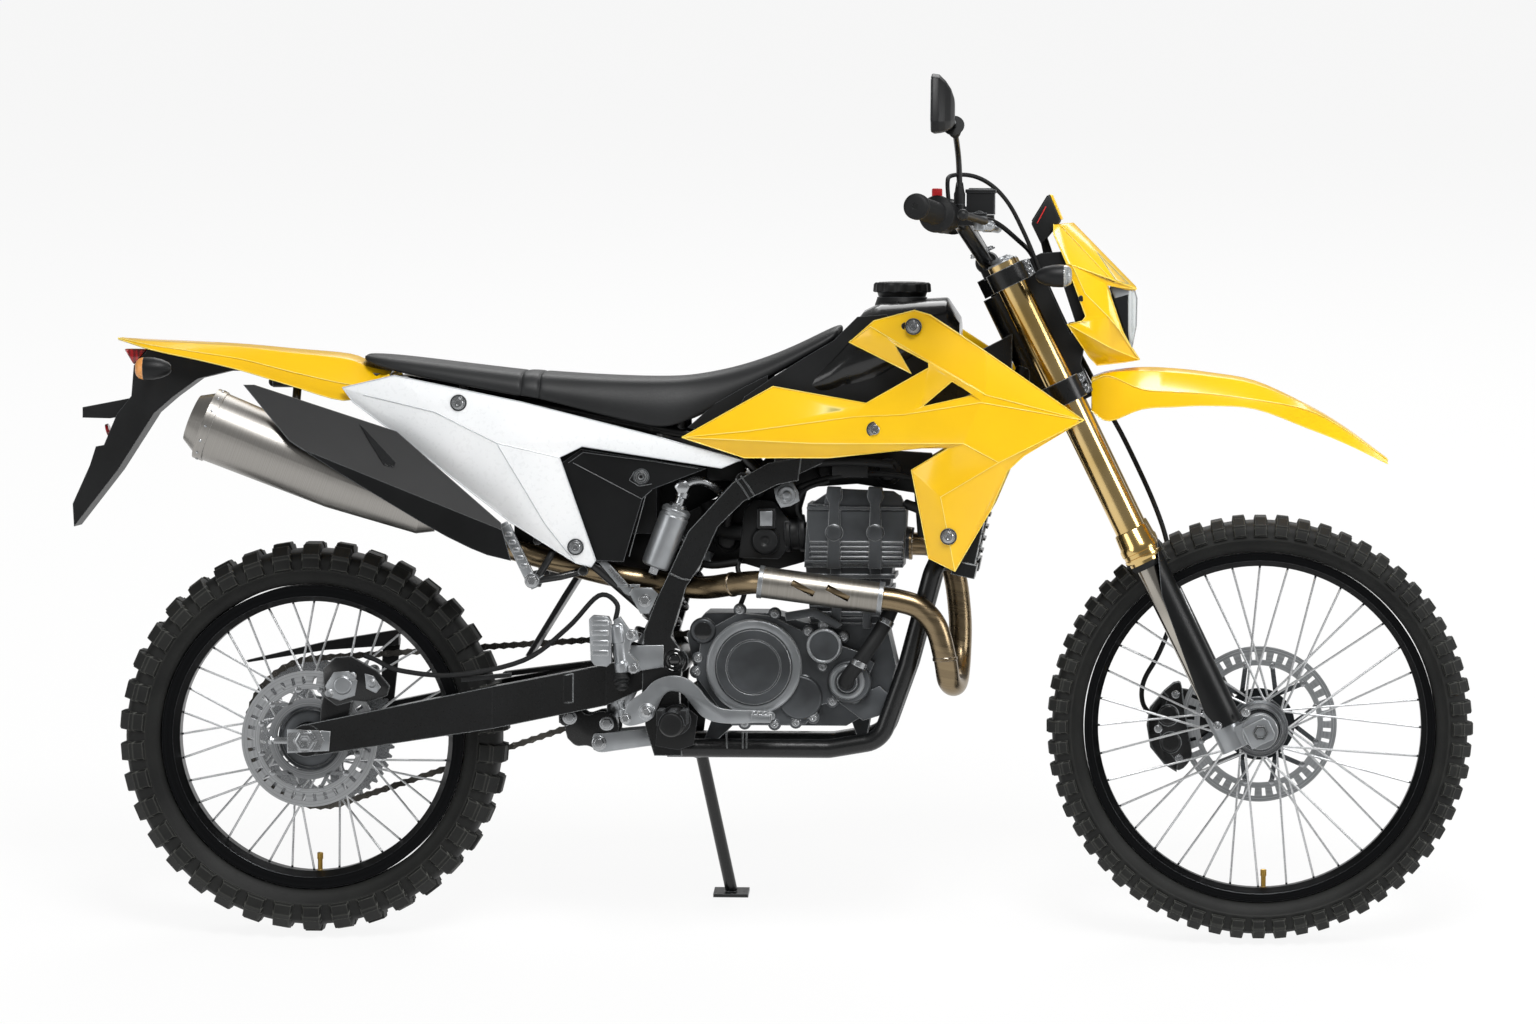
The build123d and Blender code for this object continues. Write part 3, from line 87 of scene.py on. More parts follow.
def between(value, table):
    """Linear reading of a table of (place, value) pairs."""
    for (a, low), (b, high) in zip(table, table[1:]):
        if value <= b:
            return low + (high - low) * max(0.0, value - a) / (b - a)
    return table[-1][1]


def mirrored(points):
    return [Vector((p[0], -p[1], p[2])) for p in points]


def add_faces(bm, points, faces):
    verts = [bm.verts.new(p) for p in points]
    for face in faces:
        bm.faces.new([verts[i] for i in face])


def add_loft(bm, rings, closed=True, caps=True):
    """Skin between rings of equal length, with flat ends if caps."""
    rows = [[bm.verts.new(p) for p in ring] for ring in rings]
    count = len(rows[0])
    for near, far in zip(rows, rows[1:]):
        for j in range(count if closed else count - 1):
            k = (j + 1) % count
            bm.faces.new((near[j], near[k], far[k], far[j]))
    if caps:
        bm.faces.new(list(reversed(rows[0])))
        bm.faces.new(rows[-1])


def across(axis):
    """Two directions square to an axis."""
    axis = Vector(axis).normalized()
    side = axis.cross(Vector(UP) if abs(axis.z) < 0.9 else Vector((1, 0, 0))).normalized()
    return side, axis.cross(side)


def add_turned(bm, start, axis, profile, sides=32, lobes=0, depth=0.0):
    """A form turned about an axis from (distance along it, radius) pairs, fluted by lobes if given."""
    start, axis = Vector(start), Vector(axis).normalized()
    one, two = across(axis)
    rings = []
    for along, radius in profile:
        ring = []
        for i in range(sides):
            a = 2 * pi * i / sides
            r = radius - (depth * (0.5 - 0.5 * cos(lobes * a)) if lobes else 0)
            ring.append(start + axis * along + (one * cos(a) + two * sin(a)) * r)
        rings.append(ring)
    add_loft(bm, rings)


def add_box(bm, low, high, place=Matrix.Identity(4)):
    points = [place @ Vector((x, y, z)) for x in (low[0], high[0]) for y in (low[1], high[1]) for z in (low[2],
        high[2])]
    add_faces(bm, points, [(0, 1, 3, 2), (4, 6, 7, 5), (0, 4, 5, 1), (2, 3, 7, 6), (0, 2, 6, 4), (1, 5, 7, 3)])


def add_prism(bm, outline, low, high, turn=None):
    """A side outline in X and Z, or in the fork's ahead and up, made solid from low to high in Y."""
    spot = turn or (lambda a, y, b: Vector((a, y, b)))
    add_loft(bm, [[spot(a, y, b) for a, b in outline] for y in (low, high)])


def add_pipe(bm, path, radius, sides=16):
    """A round pipe along points, its rings kept square to the way they go."""
    path = [Vector(p) for p in path]
    rings = []
    side = None
    for i, point in enumerate(path):
        way = (path[min(i + 1, len(path) - 1)] - path[max(i - 1, 0)]).normalized()
        side = across(way)[0] if side is None else (side - way * side.dot(way)).normalized()
        other = way.cross(side)
        rings.append([point + (side * cos(2 * pi * j / sides) + other * sin(2 * pi * j / sides)) * radius for j in
            range(sides)])
    add_loft(bm, rings)


def smooth_path(points, steps=6):
    """Catmull-Rom points through the given ones."""
    points = [Vector(p) for p in points]
    ends = [points[0] * 2 - points[1], *points, points[-1] * 2 - points[-2]]
    path = []
    for a, b, c, d in zip(ends, ends[1:], ends[2:], ends[3:]):
        for i in range(steps):
            t = i / steps
            path.append(0.5 * (2 * b + (c - a) * t + (2 * a - 5 * b + 4 * c - d) * t * t + (3 * b - a - 3 * c + d) * t
                ** 3))
    return [*path, points[-1]]


def sharpen(mesh, degrees):
    """Smooth shading with a crease wherever two faces meet at more than the angle."""
    bm = bmesh.new()
    bm.from_mesh(mesh)
    for face in bm.faces:
        face.smooth = True
    for edge in bm.edges:
        edge.smooth = len(edge.link_faces) == 2 and edge.calc_face_angle(0) < radians(degrees)
    bm.to_mesh(mesh)
    bm.free()


def finished(bm, name, material, stands_for=None, body="chassis", wall=0.0, edge=0.0, bevel_angle=20,
        crease=30, subdivide=0, turn=True):
    """Close the drawn mesh, set it on the leaning machine, give it walls and rounded edges and let it ride."""
    if turn:
        bmesh.ops.remove_doubles(bm, verts=bm.verts, dist=0.02)
        bmesh.ops.recalc_face_normals(bm, faces=bm.faces)
    mesh = bpy.data.meshes.new(name)
    bm.to_mesh(mesh)
    bm.free()
    mesh.transform(PLACE)
    obj = bpy.data.objects.new(name, mesh)
    bpy.context.collection.objects.link(obj)
    if wall:
        solid = obj.modifiers.new("wall", "SOLIDIFY")
        solid.thickness, solid.offset = wall * MM, -1
        solid.use_even_offset = True
    if edge:
        bevel = obj.modifiers.new("edge", "BEVEL")
        bevel.width, bevel.segments = edge * MM, 2
        bevel.limit_method, bevel.angle_limit = "ANGLE", radians(bevel_angle)
        bevel.use_clamp_overlap = True
    if subdivide:
        surface = obj.modifiers.new("surface", "SUBSURF")
        surface.levels = surface.render_levels = subdivide
    if obj.modifiers:
        graph = bpy.context.evaluated_depsgraph_get()
        plain = bpy.data.meshes.new_from_object(obj.evaluated_get(graph))
        obj.modifiers.clear()
        obj.data = plain
        bpy.data.meshes.remove(mesh)
        plain.name = name
    sharpen(obj.data, 180 if subdivide else crease)
    return ride(obj, body, material, stands_for)


def ride(obj, body, material, stands_for=None):
    """Give the object its finish, the body it moves with and the frame node it stands for."""
    obj.data.materials.clear()
    obj.data.materials.append(bpy.data.materials[material])
    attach(obj, body)
    if stands_for:
        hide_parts(stands_for)
    return obj


# ---------------------------------------------------------------- materials
def put(tree, kind, values=(), links=(), **settings):
    """Add a node with its settings, its sockets' values and the links into it."""
    node = tree.nodes.new(kind)
    for name, value in settings.items():
        setattr(node, name, value)
    for name, value in dict(values).items():
        node.inputs[name].default_value = value
    for name, source in dict(links).items():
        tree.links.new(source, node.inputs[name])
    return node


def start_material(name, **constants):
    """A new material with its shader, whose plain values stand on the shader's own sockets."""
    material = bpy.data.materials.new(name)
    material.use_nodes = True
    tree = material.node_tree
    tree.nodes.clear()
    shader = put(tree, "ShaderNodeBsdfPrincipled", {k.replace("_", " "): v for k, v in constants.items()})
    out = put(tree, "ShaderNodeOutputMaterial", links={"Surface": shader.outputs[0]})
    out.target = "ALL"
    place = put(tree, "ShaderNodeTexCoord").outputs["Object"]
    return tree, shader, place


def shade(tree, factor, dark, light, low=0.0, high=1.0):
    """A colour between two hex codes by a factor's reading from low to high."""
    ramp = put(tree, "ShaderNodeValToRGB", links={"Fac": factor})
    ramp.color_ramp.elements[0].position, ramp.color_ramp.elements[1].position = low, high
    ramp.color_ramp.elements[0].color = tone(dark)
    ramp.color_ramp.elements[1].color = tone(light)
    return ramp.outputs["Color"]


# The edge mask places the painted highlights along edges and gives the rounded normal.
def edge_mask(tree, radius, gain):
    """Where a rounded normal leaves the face's own: near its edges, from 0 to 1, with that rounded normal."""
    rounded = put(tree, "ShaderNodeBevel", {"Radius": radius * MM}, samples=4).outputs["Normal"]
    flat = put(tree, "ShaderNodeNewGeometry").outputs["Normal"]
    same = put(tree, "ShaderNodeVectorMath", operation="DOT_PRODUCT", links={0: rounded, 1: flat})
    lost = put(tree, "ShaderNodeMath", {0: 1.0}, {1: same.outputs["Value"]}, operation="SUBTRACT")
    mask = put(tree, "ShaderNodeMath", {1: gain}, {0: lost.outputs[0]}, operation="MULTIPLY", use_clamp=True)
    return mask.outputs[0], rounded


def grain(tree, place, spacing, strength, height, rounded=None, detail=2.0, stretch=None):
    """A bump of noise whose lumps stand the given millimetres apart."""
    spot = place
    if stretch:
        spot = put(tree, "ShaderNodeMapping", {"Scale": stretch}, {"Vector": place}).outputs[0]
    noise = put(tree, "ShaderNodeTexNoise", {"Scale": 1000.0 / spacing, "Detail": detail}, {"Vector": spot})
    links = {"Height": noise.outputs["Fac"]}
    if rounded is not None:
        links["Normal"] = rounded
    bump = put(tree, "ShaderNodeBump", {"Strength": strength, "Distance": height * MM}, links)
    return bump.outputs["Normal"], noise.outputs["Fac"]


def mix(tree, factor, one, two):
    """A colour between two colour outputs."""
    blend = put(tree, "ShaderNodeMix", data_type="RGBA")
    tree.links.new(factor, blend.inputs[0])
    tree.links.new(one, blend.inputs[6])
    tree.links.new(two, blend.inputs[7])
    return blend.outputs[2]


def plain_surface(name, dark, light, painted_highlight, roughness, spacing, height, metallic=0.0, coat=0.0, edge_mm=1.0, gain=3.0,
        mottle=90, rough_spread=0.08, strength=0.35, stretch=None, shine=0.5):
    """Most finishes: two close shades in large soft clouds, a painted highlight along the edges and a fine bump."""
    tree, shader, place = start_material(name, Metallic=metallic, Coat_Weight=coat, Coat_Roughness=0.08,
        Specular_IOR_Level=shine)
    clouds = put(tree, "ShaderNodeTexNoise", {"Scale": 1000.0 / mottle, "Detail": 3.0}, {"Vector": place})
    colour = shade(tree, clouds.outputs["Fac"], dark, light, 0.35, 0.65)
    rounded = None
    if edge_mm:
        mask, rounded = edge_mask(tree, edge_mm, gain)
        # Painted highlight: a lighter colour laid along the edges by the edge mask, standing in for light caught
        # there.
        colour = mix(tree, mask, colour, shade(tree, clouds.outputs["Fac"], painted_highlight, painted_highlight))
    tree.links.new(colour, shader.inputs["Base Color"])
    normal, lumps = grain(tree, place, spacing, strength, height, rounded, stretch=stretch)
    spread = put(tree, "ShaderNodeMapRange", {"To Min": roughness - rough_spread, "To Max": roughness + rough_spread},
        {"Value": lumps})
    tree.links.new(spread.outputs[0], shader.inputs["Roughness"])
    tree.links.new(normal, shader.inputs["Normal"])
    return bpy.data.materials[name]


def wheel_surface(name, centre, rim_in, flange, outer=("#0C0D0E", "#17181A"), inner=("#161718", "#262829"),
        middle=("#B9BBBD", "#DADBDC")):
    """Wheels and discs: an outer ring, a middle and a hub, told apart by their reach from the axle."""
    tree, shader, place = start_material(name, Metallic=0.85)
    upright = Matrix.Rotation(-LEAN, 4, "X")
    back = -(upright @ (PLACE @ Vector(centre)))
    spot = put(tree, "ShaderNodeMapping", {"Rotation": (-LEAN, 0, 0), "Location": back}, {"Vector": place})
    flat = put(tree, "ShaderNodeVectorMath", {1: (1, 0, 1)}, {0: spot.outputs[0]}, operation="MULTIPLY")
    reach = put(tree, "ShaderNodeVectorMath", links={0: flat.outputs[0]}, operation="LENGTH").outputs["Value"]
    is_rim = put(tree, "ShaderNodeMath", {1: (rim_in - 3) * MM}, {0: reach}, operation="GREATER_THAN").outputs[0]
    is_hub = put(tree, "ShaderNodeMath", {1: (flange + 4) * MM}, {0: reach}, operation="LESS_THAN").outputs[0]
    rings = put(tree, "ShaderNodeTexNoise", {"Scale": 600.0, "Detail": 2.0}, {"W": reach}, noise_dimensions="1D")
    rim = shade(tree, rings.outputs["Fac"], *outer, 0.3, 0.7)
    hub = shade(tree, rings.outputs["Fac"], *inner, 0.3, 0.7)
    spoke = shade(tree, rings.outputs["Fac"], *middle, 0.3, 0.7)
    # Painted highlight: a paler grey laid along the rim's edges by the edge mask.
    mask, rounded = edge_mask(tree, 1.2, 1.6)
    painted_rim_highlight = shade(tree, rings.outputs["Fac"], "#8E9194", "#A4A7AA")
    body = mix(tree, is_rim, mix(tree, is_hub, spoke, hub), mix(tree, mask, rim, painted_rim_highlight))
    tree.links.new(body, shader.inputs["Base Color"])
    rough = put(tree, "ShaderNodeMapRange", {"To Min": 0.26, "To Max": 0.42}, {"Value": rings.outputs["Fac"]})
    tree.links.new(rough.outputs[0], shader.inputs["Roughness"])
    tree.links.new(rounded, shader.inputs["Normal"])


def brushed_surface(name, dark, light, way, spacing, roughness=0.3, tint=None, tint_span=None):
    """Metal brushed round an axis: fine light and dark lines at steps along that axis."""
    tree, shader, place = start_material(name, Metallic=1.0)
    along = put(tree, "ShaderNodeVectorMath", {1: way}, {0: place}, operation="DOT_PRODUCT").outputs["Value"]
    lines = put(tree, "ShaderNodeTexNoise", {"Scale": 1000.0 / spacing, "Detail": 4.0, "Roughness": 0.7},
        {"W": along}, noise_dimensions="1D").outputs["Fac"]
    colour = shade(tree, lines, dark, light, 0.25, 0.75)
    if tint:
        clouds = put(tree, "ShaderNodeTexNoise", {"Scale": 9.0, "Detail": 2.0}, {"Vector": place}).outputs["Fac"]
        heat = put(tree, "ShaderNodeMapRange", {"From Min": tint_span[0], "From Max": tint_span[1]},
            {"Value": put(tree, "ShaderNodeMath", {1: 0.12}, {0: clouds, 2: along},
            operation="MULTIPLY_ADD").outputs[0]})
        colour = mix(tree, heat.outputs[0], colour, shade(tree, lines, tint[0], tint[1], 0.25, 0.75))
    # Painted highlight: a pale colour laid along the edges by the edge mask.
    mask, rounded = edge_mask(tree, 0.8, 2.0)
    painted_brushed_highlight = shade(tree, lines, "#D8D8D6", "#F0F0EE")
    tree.links.new(mix(tree, mask, colour, painted_brushed_highlight), shader.inputs["Base Color"])
    spread = put(tree, "ShaderNodeMapRange", {"To Min": roughness - 0.08, "To Max": roughness + 0.1},
        {"Value": lines})
    tree.links.new(spread.outputs[0], shader.inputs["Roughness"])
    bump = put(tree, "ShaderNodeBump", {"Strength": 0.06, "Distance": 0.1 * MM}, {"Height": lines, "Normal": rounded})
    tree.links.new(bump.outputs[0], shader.inputs["Normal"])


def lens_surface(name, colour, rough=0.06, through=0.85):
    """Moulded polycarbonate lens with faint ribs inside, seen through its own colour."""
    tree, shader, place = start_material(name, Transmission_Weight=through, IOR=1.58, Roughness=rough,
        Coat_Weight=0.5, Coat_Roughness=0.04)
    ribs = put(tree, "ShaderNodeTexWave", {"Scale": 40.0, "Distortion": 0.4}, {"Vector": place})
    tint = shade(tree, ribs.outputs["Fac"], colour[0], colour[1], 0.2, 0.8)
    tree.links.new(tint, shader.inputs["Base Color"])
    bump = put(tree, "ShaderNodeBump", {"Strength": 0.2, "Distance": 0.4 * MM}, {"Height": ribs.outputs["Fac"]})
    tree.links.new(bump.outputs[0], shader.inputs["Normal"])


# ---------------------------------------------------------------- sizes and colours
def colour_prop(label, words, code):
    return bpy.props.FloatVectorProperty(name=label, description=words, subtype="COLOR", size=3, min=0, max=1,
        default=linear(code))


def length_prop(label, words, millimetres):
    return bpy.props.FloatProperty(name=label, description=words, unit="LENGTH", min=0, default=millimetres * MM)


class MotorcycleColours(bpy.types.PropertyGroup):
    bodywork: colour_prop("Bodywork", "Gloss of the fenders, shrouds and lamp mask", "#F8C60C")
    bodywork_shade: colour_prop("Bodywork shade", "Darker clouding of the same plastic", "#F0BC06")
    panel: colour_prop("Side panel", "White of the side panels", "#F0F1F2")
    fork_gold: colour_prop("Fork tubes", "Anodised outer tubes of the fork", "#E6CB94")
    seat: colour_prop("Seat", "Vinyl of the seat", "#1C1D1E")


class MotorcycleSizes(bpy.types.PropertyGroup):
    screw: length_prop("Panel screw", "Radius of a panel screw's head", 8)
    clamp_screw: length_prop("Clamp screw", "Radius of a fork clamp's screw head", 5.5)
    case_screw: length_prop("Case screw", "Radius of an engine cover's screw head", 5)
    rivet: length_prop("Rivet", "Radius of a silencer band's rivet", 2.6)
    edge: length_prop("Edge", "Rounding of the plastics' creases", 1.6)


def make_materials(looks):
    """Every finish on the machine, named for what it is and how it was made."""
    # Gloss polypropylene, injection moulded: nearly one colour, soft orange peel, a painted highlight along the
    # creases.
    plain_surface(GLOSS, looks.bodywork_shade, looks.bodywork, "#FFEE90", 0.24, 6, 0.02, coat=0.3, edge_mm=3.0,
        gain=5.0, mottle=260, rough_spread=0.03, strength=0.12)
    # The same plastic in white: faint grey clouding keeps its facets readable, and a painted white highlight lies
    # along its edges.
    plain_surface("moulded gloss plastic white", "#E4E7E9", looks.panel, "#FFFFFF", 0.28, 6, 0.02, coat=0.3,
        edge_mm=2.2, gain=3.0, mottle=240, rough_spread=0.03, strength=0.12)
    # Thin moulded beads along the creases, coloured lighter than the gloss plastic as a painted highlight.
    plain_surface("polished yellow bead", "#FFDF4A", "#FFE877", "#FFF6C0", 0.2, 6, 0.01, coat=0.4, edge_mm=0)
    # The white beads are greyer than the panel: a painted shade line along its creases and outline.
    plain_surface("polished white bead", "#C9CDD0", "#DADDE0", "#FFFFFF", 0.2, 6, 0.01, coat=0.4, edge_mm=0)
    # Nylon with a spark-eroded texture: matt black, a fine even grain and a paler painted highlight along the edges.
    plain_surface(NYLON, "#0B0C0D", "#141516", "#6A6D70", 0.46, 1.6, 0.08, edge_mm=1.8, gain=3.4, shine=0.3)
    # Smooth nylon of guards and covers: satin black, its folds drawn by a painted highlight along the edges.
    plain_surface(SATIN, "#08090A", "#0F1011", "#85898C", 0.36, 4, 0.03, edge_mm=2.4, gain=3.2, shine=0.25)
    # Steel tube under satin powder coat: deep black with thin bright lines along its edges, a painted highlight.
    plain_surface(COATED, "#070808", "#0E0F10", "#B4B8BA", 0.3, 2.5, 0.04, coat=0.12, edge_mm=2.6, gain=3.4,
        shine=0.4)
    # Painted polyethylene tank: black gloss with broad soft reflections and a faint painted highlight along its
    # edges.
    plain_surface("painted gloss black", "#0A0B0B", "#111213", "#3A3C3E", 0.24, 8, 0.03, coat=0.3, edge_mm=2.0,
        gain=1.5, shine=0.4)
    # Cast aluminium: pale grey skin with a fine sand grain and a brighter painted highlight along its edges.
    plain_surface(CAST, "#838688", "#A2A5A8", "#F4F5F6", 0.36, 3, 0.05, metallic=0.85, edge_mm=1.8, gain=3.0,
        strength=0.12)
    # Magnesium-grey painted castings of the engine: sandy, half matt, with a pale painted highlight along the edges.
    plain_surface(ENGINE, "#37393B", "#55585B", "#D2D5D7", 0.4, 3, 0.1, metallic=0.55, edge_mm=2.2, gain=3.4,
        strength=0.15)
    # Zinc plated steel of screws, pins and the axle, with a painted highlight along the edges.
    plain_surface(PLATED, "#8F9193", "#B4B6B8", "#E6E7E8", 0.27, 2, 0.03, metallic=1.0, edge_mm=0.6)
    # Chain steel: oiled and dark, the plates' edges bright with a painted highlight.
    plain_surface("oiled chain steel", "#3A3835", "#6A6762", "#B5B2AB", 0.36, 2, 0.05, metallic=1.0, edge_mm=0.5)
    # Tyre rubber: dull charcoal with a pale painted highlight on the knobs' corners.
    plain_surface("tyre rubber", "#0A0B0A", "#161715", "#6E6F69", 0.62, 2.2, 0.18, edge_mm=2.6, gain=2.4,
        strength=0.5, shine=0.35, mottle=60)
    # Grip rubber: softer and darker than the tyre's, with a faint painted highlight along the edges.
    plain_surface(RUBBER, "#0C0D0E", "#161718", "#4C4F50", 0.6, 1.2, 0.12, edge_mm=1.0, gain=2.0, shine=0.3)
    # Seat vinyl with an embossed leather grain, drawn a little coarser than real so that it shows, and a faint
    # painted highlight along the edges.
    plain_surface("grained vinyl black", "#141516", looks.seat, "#3A3C3D", 0.5, 2.4, 0.22, edge_mm=1.5, gain=0.8,
        strength=0.6, mottle=140, shine=0.35)
    # Hard anodised tubes, honed round: warm gold with long soft lines up the leg.
    plain_surface("anodised aluminium gold", "#CDAC68", looks.fork_gold, "#EBD7A0", 0.17, 40, 0.02, metallic=1.0,
        edge_mm=0, mottle=160, rough_spread=0.03, strength=0.01)
    # Coated inner tube: pale champagne chrome, almost a mirror.
    plain_surface("coated chrome tube", "#8F8B84", "#B5B0A6", "#F4F0E8", 0.16, 60, 0.01, metallic=1.0, edge_mm=0,
        mottle=120, rough_spread=0.03, strength=0.01)
    # Drawn brass of the tyre valves, with a painted highlight along the edges.
    plain_surface("drawn brass", "#A8843C", "#C9A457", "#EBD59A", 0.3, 3, 0.03, metallic=1.0)
    # Red moulded switch, paint filled, with a painted highlight along the edges.
    plain_surface("moulded red plastic", "#B0141B", "#CC1E22", "#E86A60", 0.35, 3, 0.03, edge_mm=0.8)
    # Amber edge of a turn signal, with a painted highlight along its edges.
    plain_surface("moulded amber plastic", "#D98A3A", "#EFB77A", "#FFE0B8", 0.3, 3, 0.02, edge_mm=0.8)
    # Mirror glass: silvered float glass, with a painted highlight along the edges.
    plain_surface("silvered glass", "#C9CDD0", "#D6DADC", "#E8ECEE", 0.05, 80, 0.01, metallic=1.0, rough_spread=0.02,
        strength=0.03)
    # Screen under smoked acrylic, with a painted highlight along the edges.
    plain_surface("smoked acrylic", "#08090A", "#101214", "#2A2C2E", 0.1, 30, 0.01, coat=0.6, rough_spread=0.03)
    # Brushed stainless of the silencer, its lines running round the can.
    brushed_surface("brushed stainless silencer", "#8F8C88", "#AAA7A2", (0.929, 0.0642, -0.364), 1.2, 0.36,
        tint=("#8E8375", "#A69A88"), tint_span=(-0.35, 0.25))
    # Heat-tinted stainless header: straw and bronze, paler where it has stayed cool.
    brushed_surface("heat tinted stainless", "#7E705A", "#948468", (0.2, 0.1, 0.97), 14.0, 0.27,
        tint=("#75644C", "#8F7C61"), tint_span=(0.3, 0.9))
    # Brushed shield on the header, its lines running round the pipe.
    brushed_surface("brushed stainless shield", "#8A867F", "#9C9891", (0.991, 0.02, -0.13), 4.0, 0.36)
    # Brake discs, ground in rings.
    wheel_surface("ground disc front", (WHEELBASE, 0, FRONT_R), 95, 60, ("#8E9193", "#B9BBBD"),
        ("#26282A", "#3A3D3F"), ("#4A4D50", "#66696C"))
    wheel_surface("ground disc rear", (0, 0, REAR_R), 83, 50, ("#9A9C9E", "#C4C6C8"), ("#6C6E70", "#8A8C8E"),
        ("#7F8183", "#9FA1A3"))
    wheel_surface("wire wheel front", (WHEELBASE, 0, FRONT_R), 259, 34)
    wheel_surface("wire wheel rear", (0, 0, REAR_R), 219, 44)
    lens_surface("red lens", ("#7E0A10", "#B8141C"), 0.12, 0.35)
    lens_surface("clear lens", ("#DDE3E4", "#F4F8F8"), 0.05, 0.7)


NODE_FINISH = {node: finish for finish,
    nodes in ((NYLON,
    "air_box chain_guard front_indicators fuel_cap hand_controls instrument lamp_bracket mirror plate_holder"),
    (RUBBER, "brake_hose hand_grips throttle_cable"), ("oiled chain steel", "chain"),
    (ENGINE, "crankcase cylinder engine_covers front_caliper"), ("heat tinted stainless", "exhaust_pipe"),
    (CAST, "foot_levers fork_feet rear_brake shock_absorber shock_linkage"),
    (COATED, "foot_pegs frame handlebar radiators side_stand subframe swingarm triple_clamps"),
    (SATIN, "fork_guards mud_flap side_covers silencer_guard"), ("coated chrome tube", "fork_inner_tubes"),
    ("anodised aluminium gold", "fork_outer_tubes"), (PLATED, "front_axle rear_axle rear_sprocket"),
    ("ground disc front", "front_disc"), (GLOSS, "front_fender headlight_cowl radiator_shrouds rear_fender"),
    ("tyre rubber", "front_tyre rear_tyre"), ("wire wheel front", "front_wire_wheel"),
    ("painted gloss black", "fuel_tank"), ("clear lens", "headlight"), ("brushed stainless shield", "heat_shield"),
    ("ground disc rear", "rear_disc"), ("red lens", "rear_lamps"), ("wire wheel rear", "rear_wire_wheel"),
    ("grained vinyl black", "seat"), ("moulded gloss plastic white", "side_panels"),
    ("brushed stainless silencer", "silencer")) for node in nodes.split()}


# ---------------------------------------------------------------- repeats
def repeat_tree():
    """Geometry Nodes: one form set on every point, turned by its axis and way and sized by its stretch."""
    tree = bpy.data.node_groups.new("Set a form on points", "GeometryNodeTree")
    face = tree.interface
    face.new_socket("Geometry", in_out="INPUT", socket_type="NodeSocketGeometry")
    face.new_socket("Form", in_out="INPUT", socket_type="NodeSocketObject")
    face.new_socket("Size", in_out="INPUT", socket_type="NodeSocketFloat")
    face.new_socket("Finish", in_out="INPUT", socket_type="NodeSocketMaterial")
    face.new_socket("Geometry", in_out="OUTPUT", socket_type="NodeSocketGeometry")
    given = put(tree, "NodeGroupInput").outputs
    axis, way, stretch = (put(tree, "GeometryNodeInputNamedAttribute", {"Name": word},
        data_type="FLOAT_VECTOR" ).outputs["Attribute"] for word in ("axis", "way", "stretch"))
    turn = put(tree, "FunctionNodeAxesToRotation", links={"Primary Axis": axis, "Secondary Axis": way},
        primary_axis="Z", secondary_axis="X")
    size = put(tree, "ShaderNodeVectorMath", links={0: stretch, "Scale": given["Size"]}, operation="SCALE")
    form = put(tree, "GeometryNodeObjectInfo", links={"Object": given["Form"]})
    spread = put(tree, "GeometryNodeInstanceOnPoints", links={"Points": given["Geometry"],
        "Instance": form.outputs["Geometry"], "Rotation": turn.outputs[0], "Scale": size.outputs[0]})
    real = put(tree, "GeometryNodeRealizeInstances", links={"Geometry": spread.outputs[0]})
    done = put(tree, "GeometryNodeSetMaterial", links={"Geometry": real.outputs[0], "Material": given["Finish"]})
    put(tree, "NodeGroupOutput", links={"Geometry": done.outputs[0]})
    return tree


def repeated(name, form, spots, size, material, stands_for=None, body="chassis", crease=30):
    """Set a form, drawn with unit size, on every (point, axis, way, stretch) and keep the plain mesh."""
    bmesh.ops.recalc_face_normals(form, faces=form.faces)
    shape = bpy.data.meshes.new("form")
    form.to_mesh(shape)
    form.free()
    holder = bpy.data.objects.new("form", shape)
    points = bpy.data.meshes.new(name)
    turn = Matrix.Rotation(LEAN, 3, "X")
    points.from_pydata([PLACE @ Vector(spot[0]) for spot in spots], [], [])
    for word, values in (("axis", [turn @ Vector(s[1]) for s in spots]), ("way",
            [turn @ Vector(s[2] if len(s) > 2 and s[2] else across(s[1])[0]) for s in spots]),
            ("stretch", [Vector(s[3] if len(s) > 3 else (1, 1, 1)) for s in spots])):
        attribute = points.attributes.new(word, "FLOAT_VECTOR", "POINT")
        attribute.data.foreach_set("vector", [c for v in values for c in v])
    obj = bpy.data.objects.new(name, points)
    bpy.context.collection.objects.link(obj)
    modifier = obj.modifiers.new("repeat", "NODES")
    modifier.node_group = bpy.data.node_groups.get("Set a form on points") or repeat_tree()
    wanted = {"Form": holder, "Size": size, "Finish": bpy.data.materials[material]}
    for item in modifier.node_group.interface.items_tree:
        if item.in_out == "INPUT" and item.name in wanted:
            modifier[item.identifier] = wanted[item.name]
    bpy.context.view_layer.update()
    plain = bpy.data.meshes.new_from_object(obj.evaluated_get(bpy.context.evaluated_depsgraph_get()))
    if not plain.polygons:
        raise RuntimeError(f"{name}: nothing was set on its points")
    obj.modifiers.clear()
    obj.data = plain
    bpy.data.objects.remove(holder)
    sharpen(plain, crease)
    return ride(obj, body, material, stands_for)


def screw_head():
    """A socket screw on its washer, one unit in radius, standing up along Z, with a round socket sunk in its head."""
    bm = bmesh.new()
    add_turned(bm, (0, 0, -0.3), UP, [(0, 1.35), (0.45, 1.35), (0.5, 1.0), (1.0, 1.0), (1.12, 0.86), (1.12, 0.52),
        (0.7, 0.45), (0.7, 0.02)], sides=18)
    return bm


